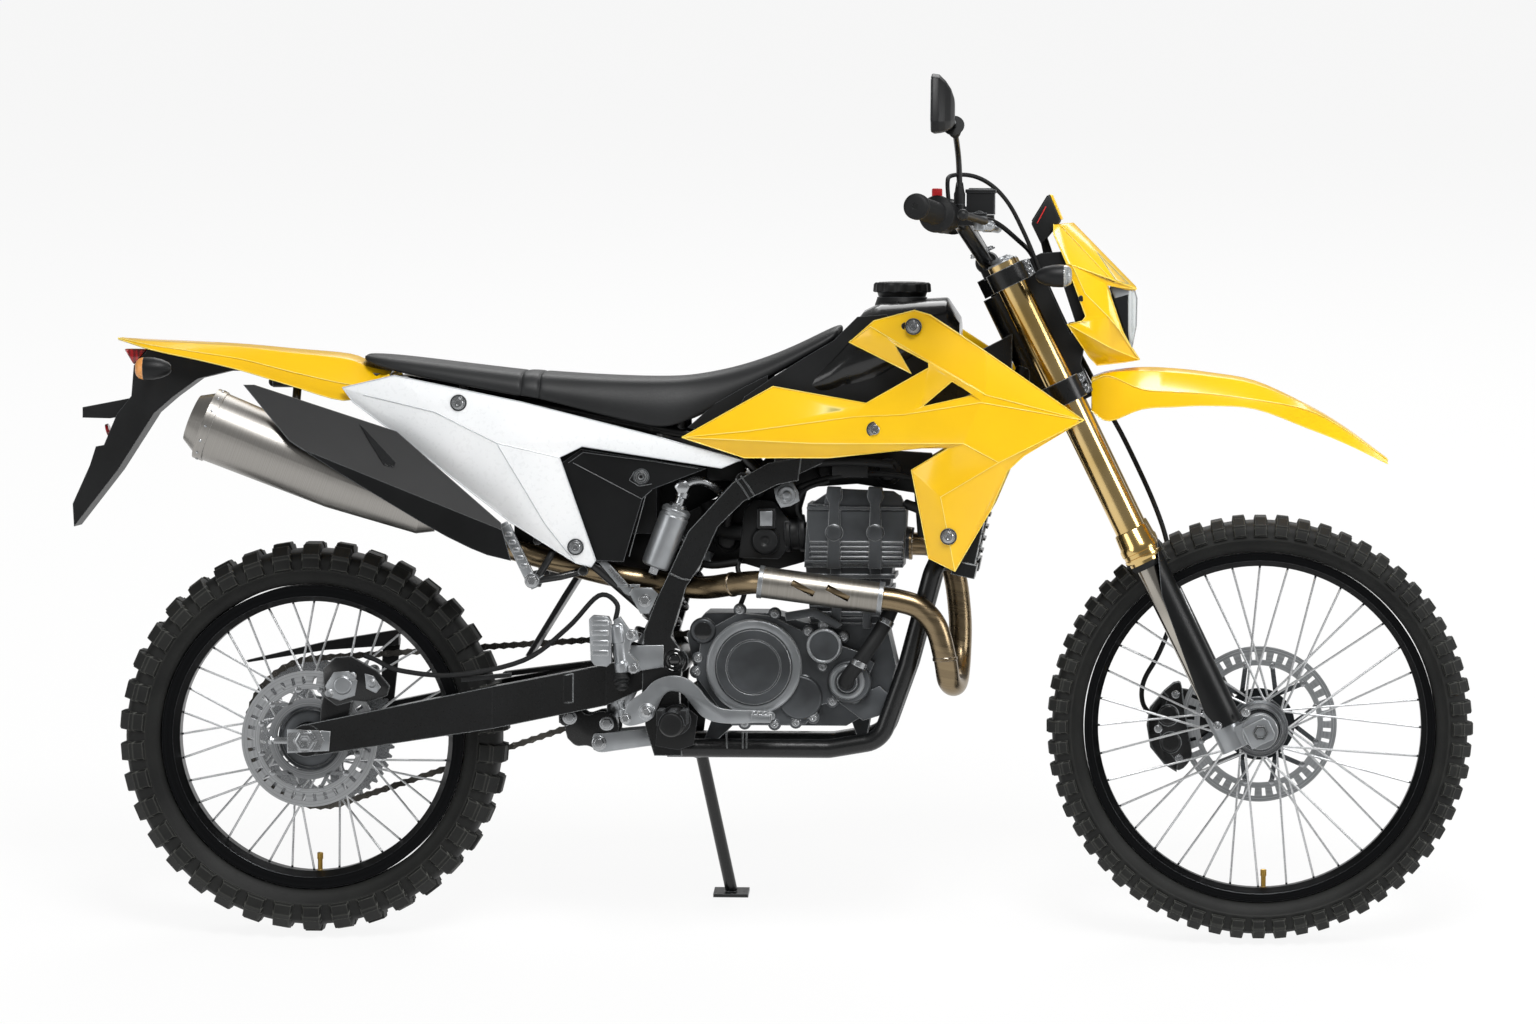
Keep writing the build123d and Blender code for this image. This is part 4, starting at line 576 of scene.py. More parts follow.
# ---------------------------------------------------------------- cords
THROTTLE_CABLE = [(1034, -262, 1180), (1030, -257, 1212), (1034, -222, 1226), (1080, -196, 1224), (1122, -150, 1190),
    (1152, -98, 1128), (1168, -84, 1088), (1176, -74, 1066), (1176, -59, 1060)]
BRAKE_HOSE = [(1081, -175, 1157), (1082, -140, 1158), (1108, -96, 1150), (1141, -50, 1120), (1149, 20, 1112),
    (1154, 62, 1106), (1168, 73, 1084), (1196, 80, 1020), (1238, 80, 934), (1254, 73, 905), (1284, 74, 846),
    (1310, 88, 800), (1362, 86, 690), (1384, 71, 620), (1392, 69, 520), (1366, 70, 450), (1340, 76, 410),
    (1338, 88, 374), (1352, 91, 354), (1372, 88, 350), (1376, 73, 350)]


def lay_cord(name, route, radius, node):
    """One smooth line through its route, from its seat on the bar to its far fitting."""
    curve = bpy.data.curves.new(name, "CURVE")
    curve.dimensions = "3D"
    spline = curve.splines.new("NURBS")
    spline.points.add(len(route) - 1)
    for point, place in zip(spline.points, route):
        point.co = (*(PLACE @ Vector(place)), 1)
    spline.order_u = 3
    spline.use_endpoint_u = True
    spline.resolution_u = 10
    curve.bevel_depth, curve.bevel_resolution, curve.use_fill_caps = radius * MM, 3, True
    obj = bpy.data.objects.new(name, curve)
    bpy.context.collection.objects.link(obj)
    ride(obj, "steering", RUBBER, stands_for=node)


class MOTO_OT_cords(bpy.types.Operator):
    """Lay the throttle cable and the front brake hose"""
    bl_idname, bl_label = "moto.cords", "Cables and hose"

    def execute(self, context):
        lay_cord("throttle_outer_cable", THROTTLE_CABLE, 3.5, "throttle_cable")
        lay_cord("front_brake_hose", BRAKE_HOSE, 4, "brake_hose")
        return {"FINISHED"}


# ---------------------------------------------------------------- stage
CAMERA_AT, CAMERA_YAW, CAMERA_PITCH, CAMERA_ROLL = (1350, -10194, 1099), 3.45, 2.33, 0.14
CAMERA_LENS = 148.4
LAMPS = [  # name, place in metres, aimed at, size, power
    ("key lamp", (1.0, -3.0, 5.8), (0.1, 0, 0.6), 2.2, 290),
    ("fill lamp", (-4.8, -4.2, 2.4), (0, 0, 0.6), 2.6, 60),
    ("back lamp", (0.5, 4.5, 4.5), (0, 0, 0.7), 4.0, 190),
    ("front lamp", (5.2, -1.4, 2.4), (0, 0, 0.6), 2.0, 90)]


class MOTO_OT_stage(bpy.types.Operator):
    """Lay a pale floor, hang soft lamps and set the camera"""
    bl_idname, bl_label = "moto.stage", "Stage"

    def execute(self, context):
        world = bpy.data.worlds.new("pale room")
        context.scene.world = world
        world.use_nodes = True
        tree = world.node_tree
        tree.nodes.clear()
        room = put(tree, "ShaderNodeBackground", {"Color": (1, 1, 1, 1), "Strength": 0.24})
        white = put(tree, "ShaderNodeBackground", {"Color": (1, 1, 1, 1), "Strength": 1.0})
        seen = put(tree, "ShaderNodeLightPath").outputs["Is Camera Ray"]
        choice = put(tree, "ShaderNodeMixShader", links={0: seen, 1: room.outputs[0], 2: white.outputs[0]})
        put(tree, "ShaderNodeOutputWorld", links={"Surface": choice.outputs[0]})

        floor_material = bpy.data.materials.new("pale painted floor")
        floor_material.use_nodes = True
        tree = floor_material.node_tree
        tree.nodes.clear()
        paint = put(tree, "ShaderNodeBsdfDiffuse", {"Color": (*linear("#F3F3F2"), 1)})
        glow = put(tree, "ShaderNodeEmission", {"Color": (1, 1, 1, 1), "Strength": 1.0})
        path = put(tree, "ShaderNodeLightPath").outputs
        shown = put(tree, "ShaderNodeMath", {}, {0: path["Is Camera Ray"], 1: path["Is Glossy Ray"]},
            operation="MAXIMUM")
        shown = put(tree, "ShaderNodeMath", {}, {0: shown.outputs[0], 1: path["Is Transmission Ray"]},
            operation="MAXIMUM")
        part = put(tree, "ShaderNodeMath", {1: 0.9}, {0: shown.outputs[0]}, operation="MULTIPLY")
        both = put(tree, "ShaderNodeMixShader", links={0: part.outputs[0], 1: paint.outputs[0], 2: glow.outputs[0]})
        put(tree, "ShaderNodeOutputMaterial", links={"Surface": both.outputs[0]})
        mesh = bpy.data.meshes.new("floor")
        reach = 60
        mesh.from_pydata([(-reach, -reach, 0), (reach, -reach, 0), (reach, reach, 0), (-reach, reach, 0)], [],
            [(0, 1, 2, 3)])
        floor = bpy.data.objects.new("floor", mesh)
        context.collection.objects.link(floor)
        floor.data.materials.append(floor_material)

        for name, place, aim, size, power in LAMPS:
            light = bpy.data.lights.new(name, "AREA")
            light.shape, light.size, light.energy = "SQUARE", size, power
            lamp = bpy.data.objects.new(name, light)
            lamp.location = place
            lamp.rotation_euler = (Vector(aim) - Vector(place)).to_track_quat("-Z", "Y").to_euler()
            context.collection.objects.link(lamp)

        yaw, pitch, roll = radians(CAMERA_YAW), radians(CAMERA_PITCH), radians(CAMERA_ROLL)
        ahead = Vector((-sin(yaw) * cos(pitch), cos(yaw) * cos(pitch), -sin(pitch)))
        right = Vector((cos(yaw), sin(yaw), 0))
        up = right.cross(ahead)
        right, up = right * cos(roll) + up * sin(roll), up * cos(roll) - right * sin(roll)
        camera = bpy.data.objects.new("camera", bpy.data.cameras.new("camera"))
        camera.data.lens, camera.data.sensor_width = CAMERA_LENS, 36
        camera.data.clip_end = 200
        frame_turn = Matrix((right, up, -ahead)).transposed()
        camera.matrix_world = Matrix.Translation(PLACE @ Vector(CAMERA_AT)) @ (Matrix.Rotation(LEAN, 3,
            "X") @ frame_turn).to_4x4()
        context.collection.objects.link(camera)
        context.scene.camera = camera
        context.scene.view_settings.view_transform = "Standard"
        return {"FINISHED"}


class MOTO_OT_finishes(bpy.types.Operator):
    """Make the materials and give each frame node its own"""
    bl_idname, bl_label = "moto.finishes", "Finishes"

    def execute(self, context):
        make_materials(context.scene.moto_colours)
        for name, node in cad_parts.items():
            for holder in node.material_slots:
                holder.material = bpy.data.materials[NODE_FINISH[name]]
        return {"FINISHED"}


# ---------------------------------------------------------------- bodywork
def add_facets(bm, points, faces, depth, sides=(-1, 1)):
    """Flat facets between named points given as (x, z, how far out of the plan they stand)."""
    for side in sides:
        places = {name: Vector((x, side * (depth(x, z) + out), z)) for name, (x, z, out) in points.items()}
        for face in faces:
            bm.faces.new([bm.verts.new(places[name]) for name in face.split()])


def face_out(bm, inside):
    """Weld the facets and turn each away from a point inside the machine."""
    bmesh.ops.remove_doubles(bm, verts=bm.verts, dist=0.05)
    bm.normal_update()
    turned = [f for f in bm.faces if f.normal.dot(f.calc_center_median() - Vector(inside)) < 0]
    bmesh.ops.reverse_faces(bm, faces=turned)


def lay_beads(name, material, lines, radius=0.9, body="chassis"):
    """Thin raised beads along each line of points, on both sides of the machine."""
    bm = bmesh.new()
    for line in lines:
        for path in (line, mirrored(line)):
            add_pipe(bm, path, radius, 6)
    finished(bm, name, material, body=body, crease=60)


def named_lines(points, words, depth, lift=0.5):
    """Right-hand lines through named facet points, given as strings of their names."""
    return [[Vector((points[n][0], -(depth(*points[n][:2]) + points[n][2] + lift),
        points[n][1])) for n in line.split()] for line in words]


SHROUD_PLAN = [(600, 127), (751, 140), (900, 158), (1000, 180), (1060, 190), (1130, 190), (1250, 172)]
SHROUD = {"tail": (605, 807, -2), "knee": (751, 889, -9), "nook": (900, 863, -8), "slot_low": (1000, 920, -5),
    "slot_top": (1000, 929, -5), "slot_back": (946, 956, -8), "finger": (972, 911, -14), "heel": (872, 960, -17),
    "brow": (912, 994, -15), "crown": (977, 1011, -13), "crown_front": (1002, 1004, -12),
    "front_edge": (1091, 946, -10), "tip": (1246, 838, -3), "under_tip": (1152, 782, -9), "flank": (1126, 758, -10),
    "flank_low": (1099, 695, -9), "toe_front": (1043, 598, -7), "toe": (1001, 618, -9), "wing_root": (973, 758, -8),
    "notch": (1031, 793, -7), "bottom_front": (989, 793, -8), "bottom": (840, 776, -9), "bottom_rear": (705, 775, -9),
    "crease_start": (907, 985, -7), "crease": (1091, 878, 0), "strip": (1052, 901, -2), "vent_back": (989, 858, -7),
    "vent_top": (1037, 899, -8), "vent_front": (1072, 877, -7), "recess": (961, 846, 0),
    "recess_front": (1084, 866, 0), "fold": (882, 842, 0), "fold_rear": (711, 818, 1), "low_rear": (814, 799, 1),
    "low": (858, 799, 1), "low_front": (1056, 801, 0), "wing": (1020, 716, -1), "flank_in": (1112, 771, -1)}
SHROUD_FACETS = ["tail fold_rear fold nook knee", "tail low_rear low fold fold_rear", "fold low low_front recess",
    "recess low_front recess_front", "recess_front low_front flank_in tip", "recess_front tip crease",
    "flank_in under_tip tip", "flank_in flank under_tip", "tail bottom_rear bottom low_rear", "low_rear bottom low",
    "low bottom bottom_front notch low_front", "heel brow crease_start", "heel crease_start slot_back finger",
    "brow crown crown_front front_edge crease crease_start", "front_edge tip crease",
    "crease_start crease strip slot_top slot_back", "fold nook slot_low vent_back recess",
    "slot_low slot_top strip vent_top vent_back", "recess vent_back vent_front recess_front",
    "vent_front vent_top strip crease recess_front", "wing_root notch low_front flank_in wing",
    "wing_root wing toe_front toe", "wing flank_in flank flank_low toe_front"]
SHROUD_BEADS = [
    "tail knee nook slot_low slot_top slot_back finger heel brow crown crown_front front_edge tip under_tip flank",
    "tail low_rear low low_front flank_in tip", "tail fold_rear fold recess recess_front tip",
    "heel crease_start crease tip", "vent_back vent_top vent_front vent_back", "flank_in wing toe_front",
    "flank flank_low toe_front toe wing_root notch bottom_front bottom bottom_rear tail"]
SHROUD_POSTS = [(962, 986, 60, 160), (880, 846, 90, 145), (1068, 660, 150, 173), (1082, 738, 150, 176)]


def shroud_reach(x, z):
    return between(x, SHROUD_PLAN)


class MOTO_OT_shrouds(bpy.types.Operator):
    """Fold the creased radiator shrouds with their vents"""
    bl_idname, bl_label = "moto.shrouds", "Radiator shrouds"

    def execute(self, context):
        bm = bmesh.new()
        add_facets(bm, SHROUD, SHROUD_FACETS, shroud_reach)
        face_out(bm, (900, 0, 850))
        finished(bm, "shroud_shells", GLOSS, "radiator_shrouds", wall=PANEL, edge=context.scene.moto_sizes.edge / MM,
            bevel_angle=5, crease=40, turn=False)
        lay_beads("shroud_beads", "polished yellow bead", named_lines(SHROUD, SHROUD_BEADS, shroud_reach))
        bm = bmesh.new()
        for x, z, low, high in SHROUD_POSTS:
            for side in (-1, 1):
                add_turned(bm, (x, side * low, z), (0, side, 0), [(0, 6), (high - low, 6)], sides=16)
        finished(bm, "shroud_posts", NYLON)
        return {"FINISHED"}


PANEL_PLAN = [(40, 108), (142, 117), (349, 123), (572, 123), (705, 121)]
SIDE_PANEL = {"rear_top": (58, 884, -3), "top_1": (142, 904, -4), "top_2": (349, 862, -4), "top_3": (572, 806, -4),
    "nose": (700, 771, -3), "nose_low": (668, 758, -3), "notch": (445, 792, -1), "notch_low": (409, 774, -1),
    "strut": (467, 610, -3), "foot": (460, 599, -3), "foot_rear": (435, 605, -4), "low_1": (331, 669, -5),
    "low_2": (142, 812, -5), "rear_low": (75, 861, -4), "fold_0": (92, 873, -1), "fold_1": (208, 846, 1),
    "fold_2": (308, 797, 2), "fold_3": (386, 668, 0)}
SIDE_PANEL_FACETS = ["rear_top top_1 fold_1 fold_0", "top_1 top_2 fold_2 fold_1",
    "top_2 top_3 notch notch_low fold_2", "top_3 nose nose_low notch", "fold_0 fold_1 low_2 rear_low",
    "fold_1 fold_2 low_1 low_2", "fold_2 fold_3 low_1", "fold_2 notch_low strut foot foot_rear fold_3",
    "fold_3 foot_rear low_1", "rear_top fold_0 rear_low"]


PANEL_BEADS = [
    "rear_top top_1 top_2 top_3 nose nose_low notch notch_low strut foot foot_rear low_1 low_2 rear_low rear_top",
    "fold_0 fold_1 fold_2 fold_3 foot_rear", "fold_2 notch_low"]


class MOTO_OT_side_panels(bpy.types.Operator):
    """Fold the white side panels"""
    bl_idname, bl_label = "moto.side_panels", "Side panels"

    def execute(self, context):
        bm = bmesh.new()
        add_facets(bm, SIDE_PANEL, SIDE_PANEL_FACETS, lambda x, z: between(x, PANEL_PLAN))
        face_out(bm, (350, 0, 780))
        finished(bm, "side_panel_shells", "moulded gloss plastic white", "side_panels", wall=PANEL,
            edge=context.scene.moto_sizes.edge / MM, bevel_angle=4, crease=40, turn=False)
        lay_beads("side_panel_beads", "polished white bead", named_lines(SIDE_PANEL, PANEL_BEADS, lambda x,
            z: between(x, PANEL_PLAN), 0.2))
        lay_beads("side_cover_folds", COATED, [[(422, -112.6, 765), (446, -112.6, 782), (560, -112.6, 768),
            (630, -112.6, 757)], [(430, -112.6, 765), (540, -112.6, 708), (556, -112.6, 722)],
            [(546, -112.6, 712), (520, -112.6, 616)], [(528, -112.6, 752), (520, -112.6, 738), (536, -112.6, 728),
            (556, -112.6, 732)]], 0.8)
        bm = bmesh.new()
        for x, z, low in ((246, 868, 74), (435, 624, 95)):
            for side in (-1, 1):
                add_turned(bm, (x, side * low, z), (0, side, 0), [(0, 6), (119 - low, 6)], sides=16)
        finished(bm, "side_panel_posts", NYLON)
        return {"FINISHED"}


FENDER = [  # x, crown, crease and edge heights, shoulder, crease and edge half widths
    (1256, 905, 897, 850, 44, 56, 60), (1285, 914, 906, 834, 46, 62, 66), (1337, 920, 885, 853, 44, 63, 66),
    (1391, 918, 881, 857, 42, 62, 65), (1445, 912, 878, 859, 40, 61, 64), (1518, 899, 869, 854, 37, 59, 62),
    (1600, 862, 853, 824, 33, 53, 56), (1660, 827, 822, 800, 26, 43, 46), (1731, 775, 772, 766, 10, 18, 20)]


def add_arches(bm, stations, steps=4):
    """An open fender skinned over smooth lines along its edge, crease, shoulder and crown."""
    lines = []
    for side, height in ((6, 3), (5, 2), (4, None), (0, 1)):
        lines.append(smooth_path([(s[0], -s[side] if side else 0,
            s[1] - 0.12 * (s[1] - s[2]) - 1.5 if height is None else s[height]) for s in stations], steps))
    lines += [mirrored(line) for line in reversed(lines[:-1])]
    add_loft(bm, list(zip(*lines)), closed=False, caps=False)


class MOTO_OT_fenders(bpy.types.Operator):
    """Skin the front and rear fenders over their crease lines"""
    bl_idname, bl_label = "moto.fenders", "Fenders"

    def execute(self, context):
        edge = context.scene.moto_sizes.edge / MM
        bm = bmesh.new()
        add_arches(bm, FENDER)
        face_out(bm, (1460, 0, 640))
        finished(bm, "front_fender_shell", GLOSS, "front_fender", body="steering", wall=PANEL, edge=edge,
            bevel_angle=9, crease=14, turn=False)
        for name, body, stations in (("front", "steering", FENDER), ("rear", "chassis", REAR_FENDER)):
            lines = [[Vector((s[0], -s[y] - 0.4, s[z] + 0.4)) for s in stations] for y, z in ((5, 2), (6, 3))]
            lay_beads(f"{name}_fender_beads", "polished yellow bead", [smooth_path(line, 4) for line in lines],
                body=body)
        bm = bmesh.new()
        add_box(bm, (-70, -52, 596.7), (14, 52, 602.7), FORK_TURN)
        finished(bm, "front_fender_mount", NYLON, body="steering", edge=1)
        bm = bmesh.new()
        add_arches(bm, REAR_FENDER)
        face_out(bm, (-60, 0, 700))
        finished(bm, "rear_fender_shell", GLOSS, "rear_fender", wall=PANEL, edge=edge, bevel_angle=9, crease=14,
            turn=False)
        return {"FINISHED"}


REAR_FENDER = [(-318, 962, 961, 960, 16, 20, 22), (-257, 959, 950, 943, 38, 57, 62),
    (-180, 956, 939, 927, 46, 68, 73), (-108, 952, 928, 910, 52, 76, 82), (-30, 945, 909, 887, 57, 84, 90),
    (58, 937, 890, 863, 62, 92, 98), (96, 922, 889, 880, 62, 92, 97), (132, 912, 905, 900, 62, 90, 96)]

COWL_REAR = [(915, 62), (990, 104), (1062, 92), (1160, 50)]
COWL_FRONT = [(915, 44), (985, 72), (1062, 62), (1160, 26)]
COWL = {"top_rear": (1195, 1148, -4), "rear_1": (1195, 1133, -2), "rear_2": (1216, 1086, -3),
    "rear_3": (1247, 1002, -4), "tab_in": (1242, 994, -4), "tab": (1218, 989, -1), "low_rear": (1253, 936, -6),
    "low_rear2": (1265, 923, -8), "chin_rear": (1309, 928, -8), "chin": (1333, 932, -6), "lens_low": (1320, 951, -3),
    "lens_mid": (1306, 978, -2), "lens_top": (1281, 1051, -3), "brow": (1328, 1045, -6),
    "crest_rear": (1206, 1147, -3), "crest": (1287, 1061, 1), "fold_1": (1225, 1083, 1), "fold_2": (1246, 1038, 1),
    "fold_3": (1284, 1000, 1), "fold_4": (1300, 981, 0), "chin_fold": (1287, 951, 2)}
COWL_FACETS = ["top_rear rear_1 rear_2 fold_1 crest crest_rear", "fold_1 crest brow lens_top",
    "fold_1 lens_top fold_3 fold_2", "lens_top lens_mid fold_4 fold_3", "rear_2 rear_3 fold_3 fold_2 fold_1",
    "rear_3 tab_in tab chin_fold fold_3", "fold_3 chin_fold chin lens_low fold_4", "fold_4 lens_low lens_mid",
    "tab low_rear low_rear2 chin_rear chin chin_fold"]
COWL_BEADS = [
    "top_rear rear_1 rear_2 rear_3 tab_in tab low_rear low_rear2 chin_rear chin lens_low lens_mid lens_top brow",
    "crest_rear crest brow", "fold_1 fold_2 fold_3 fold_4 lens_low", "rear_2 fold_1 crest", "tab chin_fold chin"]
COWL_RIDGE = ((1226, 0, 1152), (1328, 0, 1048))
LAMP_GLASS = [(1314, 1046), (1325, 1045), (1329.5, 1030), (1328.5, 986), (1322, 951), (1317, 951), (1314, 978)]
LAMP_SIDE = [(1284, 1048), (1314, 1045), (1314, 978), (1317, 952), (1308, 978)]
LAMP_TOP = [(1285, 1049), (1316, 1047), (1316, 1037), (1293, 1030)]
LAMP_BACK = [(1240, 1036), (1292, 1036), (1312, 978), (1318, 956), (1250, 956)]


def cowl_reach(x, z):
    share = (x - 1190) / 150
    return between(z, COWL_REAR) * (1 - share) + between(z, COWL_FRONT) * share


class MOTO_OT_cowl(bpy.types.Operator):
    """Fold the headlight's mask and set the lamp into it"""
    bl_idname, bl_label = "moto.cowl", "Lamp mask and headlight"

    def execute(self, context):
        bm = bmesh.new()
        add_facets(bm, COWL, COWL_FACETS, cowl_reach)
        at = {name: Vector((x, -cowl_reach(x, z) - out, z)) for name, (x, z, out) in COWL.items()}
        ridge = [Vector(p) for p in COWL_RIDGE]
        for turn in (lambda p: p, lambda p: Vector((p.x, -p.y, p.z))):
            for face in ((at["crest_rear"], at["crest"], at["brow"], ridge[1], ridge[0]),
                    (at["top_rear"], at["crest_rear"], ridge[0])):
                bm.faces.new([bm.verts.new(turn(p)) for p in face])
        for one, two in (("low_rear2", "chin_rear"), ("chin_rear", "chin"), ("chin", "lens_low")):
            near = [at[one], at[two]]
            bm.faces.new([bm.verts.new(p) for p in (*near, *mirrored(reversed(near)))])
        face_out(bm, (1240, 0, 1035))
        finished(bm, "lamp_mask", GLOSS, "headlight_cowl", body="steering", wall=PANEL,
            edge=context.scene.moto_sizes.edge / MM, bevel_angle=5, crease=40, turn=False)
        lay_beads("lamp_mask_beads", "polished yellow bead", named_lines(COWL, COWL_BEADS, cowl_reach),
            body="steering")
        bm = bmesh.new()
        for side in (-1, 1):
            add_turned(bm, (1240, side * 60.3, 1030), (0, side, 0), [(0, 5), (24, 5)], sides=14)
        add_prism(bm, LAMP_BACK, -55.7, 55.7)
        finished(bm, "lamp_housing", NYLON, "headlight", body="steering", edge=1)
        bm = bmesh.new()
        add_prism(bm, LAMP_SIDE, -60, 60)
        finished(bm, "lamp_reflector_box", "smoked acrylic", body="steering", edge=2)
        bm = bmesh.new()
        add_prism(bm, LAMP_TOP, -61, 61)
        finished(bm, "lamp_bezel", CAST, body="steering", edge=1)
        bm = bmesh.new()
        add_prism(bm, LAMP_GLASS, -61, 61)
        finished(bm, "lamp_glass", "clear lens", body="steering", edge=3)
        return {"FINISHED"}


SEAT = [  # x, side bottom, middle bottom and top heights, half width, crown's half width
    (86, 930, 930, 937, 66, 52), (96, 921, 924, 938.5, 82, 64), (141, 906, 918, 936, 101, 74),
    (240, 887, 900, 924, 110, 82), (336, 869, 881, 913, 115, 86), (344, 868, 880, 912.5, 115.5, 86),
    (345, 868.5, 880.5, 910, 113, 84), (347, 868.5, 880, 910, 113, 84), (348, 868, 880, 912.5, 115.5, 86),
    (360, 866, 878, 912.5, 116, 86.5), (373, 863, 876, 911.5, 115.5, 86), (374, 863.5, 876, 909, 113, 84),
    (376, 863.5, 876, 909, 113, 84), (377, 862, 875, 911, 115.5, 86), (386, 860, 873, 910.5, 115.5, 86),
    (450, 843, 857, 906, 115, 86), (530, 822, 845, 903, 113, 85), (571, 813, 838, 903, 112, 84),
    (607, 822, 850, 904, 106, 78), (655, 850, 868, 912, 98, 69), (700, 876, 884, 923, 92, 62),
    (752, 906, 912, 941, 86, 56), (800, 934, 940, 963, 79, 49), (841, 957, 962, 984, 71, 43),
    (856, 975, 979, 988, 62, 36)]


class MOTO_OT_seat(bpy.types.Operator):
    """Pad the seat, with the two sewn channels of its strap band"""
    bl_idname, bl_label = "moto.seat", "Seat"

    def execute(self, context):
        bm = bmesh.new()
        rings = []
        for x, low, mid, high, half, crown in SEAT:
            tall = high - low
            right = [(x, -(half - 22), mid), (x, -(half - 3), low + 1), (x, -half, low + tall * 0.18),
                (x, -(half - 1), low + tall * 0.5), (x, -(half * 0.5 + crown * 0.5), low + tall * 0.82),
                (x, -crown, high - 3.5), (x, -crown * 0.55, high - 0.8)]
            rings.append([Vector(p) for p in right] + [Vector((x, 0, high))] + mirrored(reversed(right)) + [Vector((x,
                0, mid))])
        add_loft(bm, rings)
        seat = finished(bm, "seat_cushion", "grained vinyl black", "seat", subdivide=2)
        return {"FINISHED"}


# ---------------------------------------------------------------- bars, lamps and instruments
FORK_TURN = Matrix.Translation((WHEELBASE, 0, FRONT_R)) @ Matrix.Rotation(-RAKE, 4, "Y")
BAR_BEND, BAR_END = Vector((1048, 170, 1150)), Vector((987, 405, 1174))


def bar_point(y):
    """The handlebar's middle at y to the left along its outer stretch."""
    return BAR_BEND + (BAR_END - BAR_BEND) * (y - BAR_BEND.y) / (BAR_END.y - BAR_BEND.y)


class MOTO_OT_bars(bpy.types.Operator):
    """Ribbed grips, the reservoir's lid, the kill switch and the lever's clamp"""
    bl_idname, bl_label = "moto.bars", "Grips and controls"

    def execute(self, context):
        ribs = [(z, 18.2 if i % 2 else 16.8) for i, z in enumerate(range(14, 106, 3))]
        profile = [(0, 12), (0, 26), (2, 29), (5, 29.5), (8, 27), (9, 20), (12, 18), *ribs, (108, 18.5), (110, 20.5),
            (118, 20.5), (121, 18.5), (122, 14), (122.5, 5), (118, 4)]
        bm = bmesh.new()
        for side in (-1, 1):
            start, end = bar_point(288), bar_point(411)
            start.y, end.y = side * start.y, side * end.y
            add_turned(bm, start, end - start, profile, sides=40)
        finished(bm, "rubber_grips", RUBBER, "hand_grips", body="steering", crease=50)
        bm = bmesh.new()
        add_box(bm, (1059, -242, 1196), (1107, -182, 1202))
        add_box(bm, (1064, -237, 1201), (1102, -187, 1204))
        finished(bm, "reservoir_lid", NYLON, body="steering", edge=2)
        bm = bmesh.new()
        add_box(bm, (1008, -288, 1180), (1024, -266, 1203))
        finished(bm, "stop_switch", "moulded red plastic", body="steering", edge=2.5)
        bm = bmesh.new()
        for side in (-1, 1):
            add_turned(bm, (1083, side * 249, 1136), UP, [(0, 9), (2, 11), (22, 11), (24, 9)], sides=24)
            add_turned(bm, (1080, side * 246, 1148), (0.93, side * -0.1, -0.2), [(0, 8), (3, 10), (22, 9), (26, 5)],
                sides=20)
        finished(bm, "lever_pivots", CAST, body="steering", edge=0.8)
        return {"FINISHED"}


MIRROR_GLASS = [(-46, -46), (62, -46), (72, -30), (52, 40), (30, 46), (-40, 30)]


class MOTO_OT_mirror(bpy.types.Operator):
    """The mirror's shell, glass, boot and bent stem"""
    bl_idname, bl_label = "moto.mirror", "Mirror"

    def execute(self, context):
        bm = bmesh.new()
        rings = []
        for deep, share, lift in ((0, 0.97, 0), (2, 1, 0), (12, 0.97, 0), (22, 0.84, -4), (30, 0.66, -8),
                (35, 0.42, -12)):
            rings.append([(1011 + deep, -368 - a * share, 1333 + b * share + lift) for a, b in MIRROR_GLASS])
        add_loft(bm, rings)
        finished(bm, "mirror_shell", NYLON, "mirror", body="steering", edge=3, bevel_angle=12, crease=35)
        bm = bmesh.new()
        add_loft(bm, [[(1010.6 + deep, -368 - a * 0.92, 1333 + b * 0.92) for a, b in MIRROR_GLASS] for deep in (-0.4,
            1)])
        finished(bm, "mirror_glass", "silvered glass", body="steering")
        x, y, z = bar_point(236)
        stem = smooth_path([(x + 19, -y, z + 24), (x + 19, -y - 3, z + 52), (x + 18, -y - 26, z + 92),
            (x + 15, -y - 80, z + 128), (x + 12, -y - 124, z + 148)], 8)
        bm = bmesh.new()
        add_pipe(bm, stem, 4.6)
        finished(bm, "mirror_stem", COATED, body="steering")
        bm = bmesh.new()
        add_turned(bm, (x + 19, -y, z + 22), UP, [(0, 9), (16, 9), (20, 7.5), (34, 5.5)], sides=24)
        add_turned(bm, stem[-9], stem[-1] - stem[-9], [(0, 5.5), (10, 9), (14, 8), (22, 12), (27, 11), (36, 17)],
            sides=24)
        finished(bm, "mirror_boots", RUBBER, body="steering", crease=35)
        return {"FINISHED"}


METER = [(22, 850), (22, 888), (69, 918), (67, 871)]


class MOTO_OT_instrument(bpy.types.Operator):
    """The meter's case, screen, trim line and bright visor strip"""
    bl_idname, bl_label = "moto.instrument", "Instrument"

    def execute(self, context):
        bm = bmesh.new()
        add_prism(bm, METER, -43, 43, fork)
        arm = [(-45, 813), (30, 813), (36, 862), (24, 862), (18, 836), (-45, 836)]
        add_prism(bm, arm, -12, 12, fork)
        finished(bm, "meter_case", NYLON, "instrument", body="steering", edge=3)
        bm = bmesh.new()
        add_prism(bm, [(25, 889.4), (66, 915.6), (65, 917.4), (24, 891.2)], -36, 36, fork)
        finished(bm, "meter_screen", "smoked acrylic", body="steering", edge=1)
        bm = bmesh.new()
        for side in (-1, 1):
            add_prism(bm, [(30, 884), (31.5, 883), (56, 901), (54.6, 902.2)], side * 43.2, side * 44.4, fork)
        finished(bm, "meter_trim", "moulded red plastic", body="steering")
        bm = bmesh.new()
        add_prism(bm, [(69, 917), (73, 914), (71, 872), (67, 872)], -41, 41, fork)
        finished(bm, "meter_visor", GLOSS, body="steering", edge=1)
        return {"FINISHED"}


